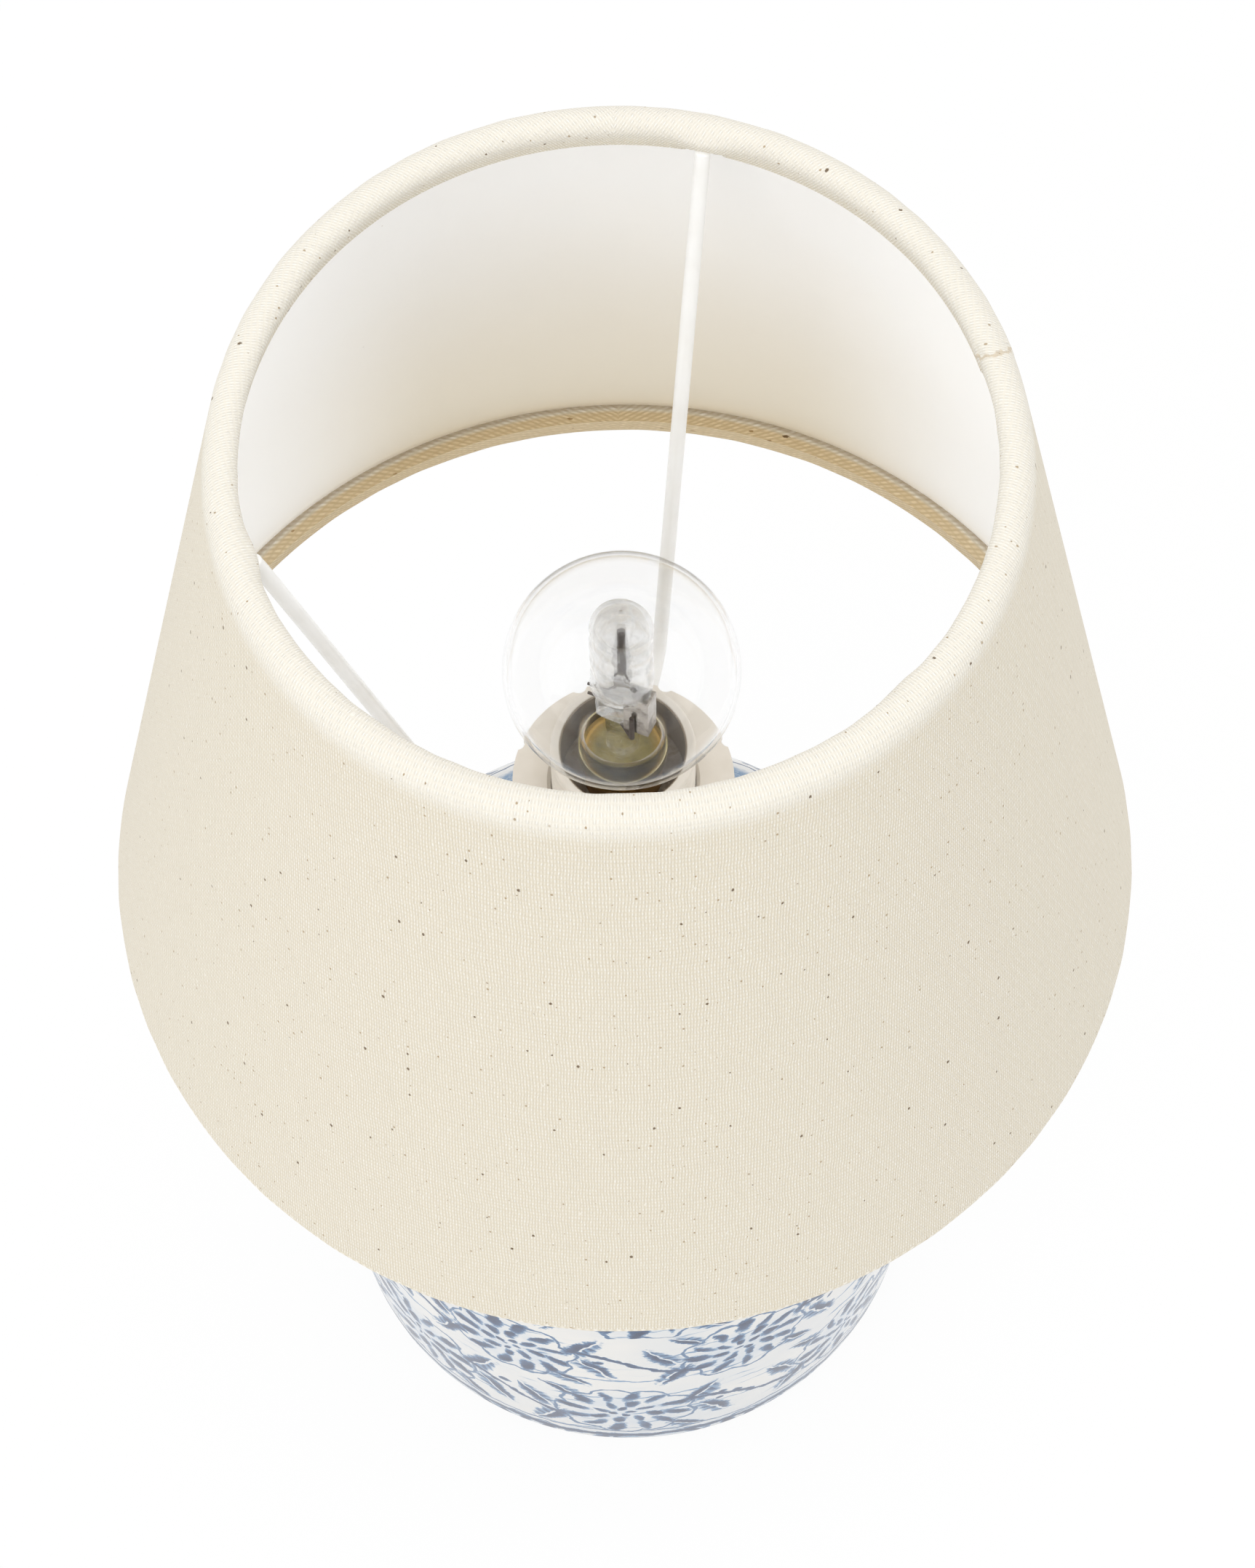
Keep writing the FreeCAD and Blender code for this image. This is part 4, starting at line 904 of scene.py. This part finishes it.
def resin_finish():
    """Brown pressed resin, speckled with pale filler and dust."""
    finish = Finish("insert_resin")
    place = finish.place()
    cloudy = finish.noise(place, 2.0, 4.0, 0.7)
    colour = finish.ramp(cloudy, (0.35, (132, 118, 101)), (0.6, (166, 151, 132)),
                         (0.8, (196, 181, 161)))
    dust = finish.specks(place, 0.8, (0.24, 0.12), 0, (0.72, 0.76))
    colour = finish.blend(dust * 0.75, colour, (206, 192, 172))
    return finish.shade(Base_Color=colour, Roughness=0.55, Normal=finish.bump(cloudy, 0.08, 0.5))


def threaded_barrel(material):
    """The barrel with its outside thread: radius falls by the depth between rounded crests.

    The crest's phase is height / pitch less the azimuth's share of a turn, so it climbs as a
    right-handed thread does, and it fades out near the mouth and at the foot.
    """
    height = np.linspace(holder_bottom, holder_mouth - 0.6, 170)[:, None]
    azimuth = angles(144)[None]
    phase = (height / thread_pitch - azimuth / TAU) % 1.0
    groove = thread_depth * unit(1.25 * (0.5 - 0.5 * np.cos(TAU * phase)) - 0.125)
    fade = unit((height - holder_bottom - 2) / 2) * unit((holder_mouth - 1.5 - height) / 1.5)
    outer = turned(barrel_radius - 0.02 - groove * fade, height, azimuth)
    inner = outline(
        bend((barrel_radius - 0.6, holder_mouth - 0.6), 0.58, 10, 90, 6),
        run((barrel_radius - 0.7, holder_mouth), (barrel_bore + 0.4, holder_mouth), 0.6),
        path((barrel_bore, holder_mouth - 0.4), (barrel_bore, holder_ledge, 4.0),
             (ledge_bore, holder_ledge, 2.0), (ledge_bore, spigot_bottom, 3.0),
             (spigot_radius, spigot_bottom, 2.0), (spigot_radius, holder_bottom, 2.0),
             (barrel_radius - 0.3, holder_bottom, 1.0)))
    rest = turned(inner[:, :1], inner[:, 1:], azimuth)
    piece = surface("threaded_barrel", np.vstack([outer, rest]), closed=True, sharp_degrees=35)
    return dress(piece, material, "lamp_base", ("holder_body",))


# ---- Bulb --------------------------------------------------------------------------------
def glass_finish(name, tint, clear, wave=0.0):
    """Clear glass. clear is how much of it passes rays straight on where it is seen square on."""
    finish = Finish(name)
    facing = finish.node("ShaderNodeLayerWeight", None, 0.35, output="Facing")
    sockets = {"Base_Color": tint, "Roughness": 0.0, "Transmission_Weight": 1.0, "IOR": 1.45,
               "Alpha": facing.step(0.5, 0.98, 1 - clear, 1.0)}
    if wave:
        ripple = finish.noise(finish.scaled(finish.place(), (1, 1, 0.6)), 2.6)
        sockets["Normal"] = finish.bump(ripple, wave, 0.6)
    return finish.shade(**sockets)


def bulb_outline(wall):
    """The bulb's profile, set in by a wall: straight neck, blend, and ball.

    The blend's circle touches the neck's top and the ball, so its radius is
    (rise^2 - ball^2 + neck^2) / (2 (ball - neck)).
    """
    rise, swell = ball_height - bulb_neck_top, ball_radius - bulb_neck_radius
    blend = (rise ** 2 - ball_radius ** 2 + bulb_neck_radius ** 2) / (2 * swell)
    middle = (bulb_neck_radius + blend, bulb_neck_top)
    towards = math.degrees(math.atan2(-rise, middle[0]))
    neck = bulb_neck_radius - wall
    return outline(run((neck, bulb_glass_bottom), (neck, bulb_neck_top), 1.0),
                   bend(middle, blend + wall, 180, 180 + towards, 16),
                   bend((0, ball_height), ball_radius - wall, towards, 90, 60))


def bulb_glass():
    """The blown ball and its neck, with an inner and an outer face."""
    profile = np.vstack([bulb_outline(bulb_wall)[::-1], bulb_outline(0.0)])
    piece = lathe("bulb_ball", profile, 128)
    return dress(piece, glass_finish("clear_glass", (253, 254, 254), 0.965), "bulb",
                 ("bulb_glass",))


def squashed(width, depth, power, azimuth):
    """Radius of a superellipse: (|cos / w|^n + |sin / d|^n)^(-1/n)."""
    across, along_depth = np.abs(np.cos(azimuth) / width), np.abs(np.sin(azimuth) / depth)
    return (across ** power + along_depth ** power) ** (-1 / power)


def stem():
    """The glass mount: a flare, a tube, and a pinch that holds the support wire."""
    azimuth = angles(64)[None]
    level = stem_bottom + np.linspace(0, 1, 48)[:, None] * (stem_top - stem_bottom)
    flare = unit((stem_flare_top - level) / (stem_flare_top - stem_bottom))
    spread = stem_radius + (stem_flare_radius - stem_radius) * flare ** 2.2
    pinched = eased((level - stem_tube_top + 1.2) / 1.6)
    flat = squashed(stem_pinch_width / 2 - 0.05, stem_pinch_depth / 2 - 0.05, 3, azimuth)
    pole = np.zeros((1, 64))
    radius = np.vstack([pole, spread * (1 - pinched) + flat * pinched, pole])
    level = np.vstack([[stem_bottom], level, [stem_top]])
    piece = surface("glass_mount", placed(turned(radius, level, azimuth), burner_turn))
    return dress(piece, glass_finish("mount_glass", (248, 250, 246), 0.6, 0.3), "bulb",
                 ("bulb_stem",))


def burner():
    """The burner's quartz: a flat pinch, a round tube, a domed end and the drop that seals it.

    Its rings go from a superellipse at the pinch to circles in the tube, and a slow wave makes
    the wall uneven as drawn quartz is. The hollow inside is a second, smaller surface.
    """
    azimuth = angles(72)[None]
    circle = np.ones_like(azimuth)
    tube_end = burner_pinch_height + burner_length - burner_dome
    tip_start = burner_pinch_height + burner_length - 0.1
    share = np.linspace(0, 1, 40)[:, None]
    pinch = squashed(burner_pinch_width / 2, burner_pinch_depth / 2, 4, azimuth)
    grow = eased((share - 0.55) / 0.45)
    tube = np.linspace(0, 1, 24)[1:, None]
    cap = np.radians(np.linspace(0, 90, 16))[1:-3, None]
    tip = np.radians(np.linspace(0, 90, 8))[:, None]
    drop = burner_tip_radius * np.cos(tip) * circle
    drop[-1] = 0
    radius = np.vstack([0 * circle, pinch * (1 - grow) + burner_radius * grow,
                        burner_radius * np.ones_like(tube) * circle,
                        burner_radius * np.cos(cap) * circle, drop])
    height = np.vstack([[0.0], share * burner_pinch_height,
                        burner_pinch_height + tube * (burner_length - burner_dome),
                        tube_end + burner_dome * np.sin(cap), tip_start + burner_tip * np.sin(tip)])
    wave = 0.16 * np.sin(height * 0.9 + 2 * azimuth)
    wave = wave * np.sin(height * 0.47 + 1.1 * np.cos(azimuth))
    wave = wave * unit(radius / 3) - 0.16 * (radius > 4)
    outer = turned(radius + wave, height, azimuth)
    bore, hollow_bottom = burner_radius - burner_wall, burner_pinch_height + 0.5
    hollow = outline(bend((0, hollow_bottom), (bore, 4.0), -90, 0, 10),
                     run((bore, hollow_bottom), (bore, tube_end), 1.2),
                     bend((0, tube_end), (bore, burner_dome - burner_wall), 0, 90, 10))
    hollow[[0, -1], 0] = 0
    hollow = hollow[::-1]
    inner = turned(hollow[:, :1], hollow[:, 1:], azimuth)
    ripple = 0.22 * np.sin(inner[..., 2:] * 0.7 + 3 * azimuth[..., None])
    inner = inner + ripple * np.array([0.6, 0.6, 0.0]) * (hollow[:, :1, None] > 3)
    material = glass_finish("burner_quartz", (253, 253, 252), 0.62, 0.25)
    base = (0, 0, burner_bottom)
    shells = []
    for name, points in (("burner_outside", outer), ("burner_hollow", inner)):
        shells.append(surface(name, placed(points, burner_turn, burner_lean, base)))
    joined = shells[0]
    with bpy.context.temp_override(active_object=joined, selected_editable_objects=shells):
        bpy.ops.object.join()
    joined.name = "burner_quartz"
    return dress(joined, material, "bulb", ("burner_glass",))


def cement_disc():
    """The cement inside the bulb's cap, seen down its neck: a shallow dish with a lumpy face."""
    rings = np.linspace(0, bulb_neck_radius - 0.05, 18)[:, None]
    azimuth = angles(96)[None]
    height = bulb_glass_bottom - 0.5 + 0.35 * (rings / rings.max()) ** 3
    top = turned(rings, height + 0.06 * np.sin(5 * azimuth + rings) * (rings > 0), azimuth)[::-1]
    under = turned(rings, np.full_like(rings, bulb_glass_bottom - 1.0), azimuth)
    piece = surface("cap_cement", np.vstack([under, top]))
    finish = Finish("cap_cement")
    place = finish.place()
    cloudy = finish.noise(place, 2.4, 4.0, 0.65)
    x, y, _ = finish.axes(place)
    out = (x * x + y * y).root()
    colour = finish.ramp(cloudy, (0.3, (122, 112, 60)), (0.55, (158, 142, 80)),
                         (0.8, (188, 168, 100)))
    colour = finish.blend(out.step(4.6, 7.4), colour, (216, 176, 88))
    cement = finish.shade(Base_Color=colour, Roughness=0.4, Metallic=0.15,
                          Normal=finish.bump(cloudy, 0.2, 0.5))
    return dress(piece, cement, "bulb")


# ---- Metals and the rest -----------------------------------------------------------------
def metal_finish(name, colour, darker, rough, brushed=(1, 1, 1), bite=0.4, tarnish=0.5):
    """Metal with fine brushing along one way, and tarnish in soft patches."""
    finish = Finish(name)
    place = finish.place()
    lines = finish.noise(finish.scaled(place, brushed), 0.6, 3.0, 0.6)
    patch = finish.noise(place, 3.5, 3.0, 0.6)
    shown = finish.blend(patch.step(0.42, 0.72) * tarnish, colour, darker)
    return finish.shade(Base_Color=shown, Metallic=1.0, Roughness=rough + patch * 0.15,
                        Normal=finish.bump(lines, 0.03, bite))


def felt_finish():
    """Pressed wool felt: matted fibres in two greens."""
    finish = Finish("felt")
    place = finish.place()
    fibre = finish.noise(finish.scaled(place, (1.0, 3.0, 1.0)), 1.1, 4.0, 0.75)
    other = finish.noise(finish.scaled(place, (3.0, 1.0, 1.0)), 1.1, 4.0, 0.75)
    matted = fibre.most(other)
    colour = finish.ramp(matted, (0.35, (28, 46, 36)), (0.6, (46, 70, 56)), (0.8, (78, 100, 84)))
    return finish.shade(Base_Color=colour, Roughness=0.97, Sheen_Weight=0.12, Sheen_Roughness=0.6,
                        Specular_IOR_Level=0.1, Normal=finish.bump(matted, 0.3, 0.8))


def rubber_finish():
    """Matt black rubber, dusty at its pores."""
    finish = Finish("cushion_rubber")
    place = finish.place()
    pores = finish.noise(place, 0.8, 4.0, 0.7)
    colour = finish.ramp(pores, (0.3, (22, 22, 22)), (0.7, (44, 43, 42)))
    return finish.shade(Base_Color=colour, Roughness=0.8, Normal=finish.bump(pores, 0.08, 0.6))


def bead_finish():
    """The cap's black glass bead, glossy with a faint swirl."""
    finish = Finish("insulator_glass")
    place = finish.place()
    swirl = finish.noise(place, 2.0, 3.0)
    colour = finish.ramp(swirl, (0.3, (12, 12, 15)), (0.75, (34, 32, 40)))
    return finish.shade(Base_Color=colour, Roughness=0.08 + swirl * 0.1, Coat_Weight=0.5)


# ---- Pieces ------------------------------------------------------------------------------
enamel = enamel_finish()
beige = (240, 234, 225), (232, 225, 214)

canvas_shade()
lining()
frame_arms(enamel)
jar()
lid()
threaded_barrel(moulded_finish("barrel_plastic", *beige, barrel_bore))
bulb_glass()
stem()
burner()
cement_disc()

carried_over = (
    (felt_finish(), "felt_pad"),
    (rubber_finish(), "cushion_washer"),
    (moulded_finish("bush_plastic", (228, 226, 220), (216, 213, 205)), "cord_bush"),
    (metal_finish("zinc_steel", (206, 204, 196), (170, 160, 132), 0.3, (1, 1, 6)),
     "lamp_rod", "base_washer", "base_nut", "terminal_screws", "grub_screw"),
    (enamel, "lid_washer", "neck_sleeve", "fitter_ring", "top_ring", "bottom_ring"),
    (moulded_finish("holder_plastic", *beige), "holder_cap", "seat_ring", "clamp_ring"),
    (resin_finish(), "contact_insert"),
    (metal_finish("contact_brass", (214, 176, 104), (150, 112, 60), 0.28, (1, 1, 5)),
     "terminal_blocks", "screw_shell", "centre_contact"),
    (metal_finish("bulb_metal", (196, 184, 140), (120, 108, 72), 0.3, (1, 1, 4)), "bulb_cap"),
    (bead_finish(), "bulb_insulator"),
    (metal_finish("solder", (176, 178, 182), (120, 122, 126), 0.4, tarnish=0.8),
     "bulb_contact"),
    (metal_finish("bright_steel", (186, 180, 173), (112, 104, 96), 0.16, (1, 1, 6), 0.3, 0.9),
     "burner_clip"),
    (metal_finish("dark_wire", (92, 84, 80), (46, 40, 38), 0.45),
     "burner_leads", "support_wire", "filament"))
for material, *nodes in carried_over:
    for node in nodes:
        dress(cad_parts[node], material)


# ---- Floor, light and camera -------------------------------------------------------------
def looking(tree):
    """1 for the rays that only look at a surface: camera, glossy and transmission rays."""
    rays = tree.nodes.new("ShaderNodeLightPath").outputs
    most = rays["Is Camera Ray"]
    for other in ("Is Glossy Ray", "Is Transmission Ray"):
        node = tree.nodes.new("ShaderNodeMath")
        node.operation = "MAXIMUM"
        tree.links.new(most, node.inputs[0])
        tree.links.new(rays[other], node.inputs[1])
        most = node.outputs[0]
    return most


def white_floor():
    """A pale floor to the horizon, mixed with plain white light for rays that only look at it."""
    reach, level = 30000.0, -0.2
    corners = np.array([[(x, y, level) for x in (-reach, reach)] for y in (-reach, reach)])
    floor = surface("floor", corners, around=False)
    finish = Finish("pale_floor")
    finish.shade(Base_Color=(246, 246, 245), Roughness=0.9, Specular_IOR_Level=0.1)
    share = Value(finish, looking(finish.tree)) * 0.94
    glow = finish.node("ShaderNodeEmission", None, (255, 255, 255), 1.0)
    plain = Value(finish, finish.shader.outputs[0])
    mixed = finish.node("ShaderNodeMixShader", None, share, plain, glow)
    finish.tree.links.new(mixed.socket, finish.tree.nodes["Material Output"].inputs[0])
    dress(floor, finish.material)


def white_sky():
    """A plain sky: white to look at, and a little less than white to be lit by."""
    lighting_strength = 0.95
    world = bpy.data.worlds.new("white_sky")
    bpy.context.scene.world = world
    world.use_nodes = True
    tree = world.node_tree
    sky = tree.nodes["Background"]
    sky.inputs["Color"].default_value = (1, 1, 1, 1)
    strength = tree.nodes.new("ShaderNodeMapRange")
    strength.inputs["To Min"].default_value = lighting_strength
    tree.links.new(looking(tree), strength.inputs["Value"])
    tree.links.new(strength.outputs[0], sky.inputs["Strength"])


def softboxes():
    """Two large soft lamps, a key from the left of the front and a weaker one overhead."""
    for name, place, power in (("key_softbox", (-600, -900, 1300), 5.0),
                               ("top_softbox", (300, 200, 1700), 4.0)):
        lamp = bpy.data.lights.new(name, "AREA")
        lamp.shape, lamp.size, lamp.energy = "SQUARE", 0.9, power
        stand = bpy.data.objects.new(name, lamp)
        stand.location = Vector(place) * MM
        stand.rotation_mode = "QUATERNION"
        stand.rotation_quaternion = (Vector((0, 0, 200)) - Vector(place)).to_track_quat("-Z", "Y")
        bpy.context.scene.collection.objects.link(stand)


def camera():
    """The photograph's view: from steeply above the front, a hair off level."""
    target, distance = Vector((0.75, 0, 210.6)), 965.9
    elevation, roll = math.radians(64.63), math.radians(-0.81)
    back = Vector((0, -math.cos(elevation), math.sin(elevation)))
    right = Vector((1, 0, 0))
    up = back.cross(right)
    across = math.cos(roll) * right + math.sin(roll) * up
    upright = back.cross(across)
    eye = bpy.data.objects.new("photo_view", bpy.data.cameras.new("photo_view"))
    eye.data.lens, eye.data.sensor_width, eye.data.sensor_fit = 116.0, 36.0, "AUTO"
    eye.data.clip_start, eye.data.clip_end = 0.05, 100.0
    turn = Matrix((across, upright, back)).transposed()
    eye.matrix_world = Matrix.Translation((target + distance * back) * MM) @ turn.to_4x4()
    bpy.context.scene.collection.objects.link(eye)
    bpy.context.scene.camera = eye


white_floor()
white_sky()
softboxes()
camera()
bpy.context.scene.view_settings.view_transform = "Standard"
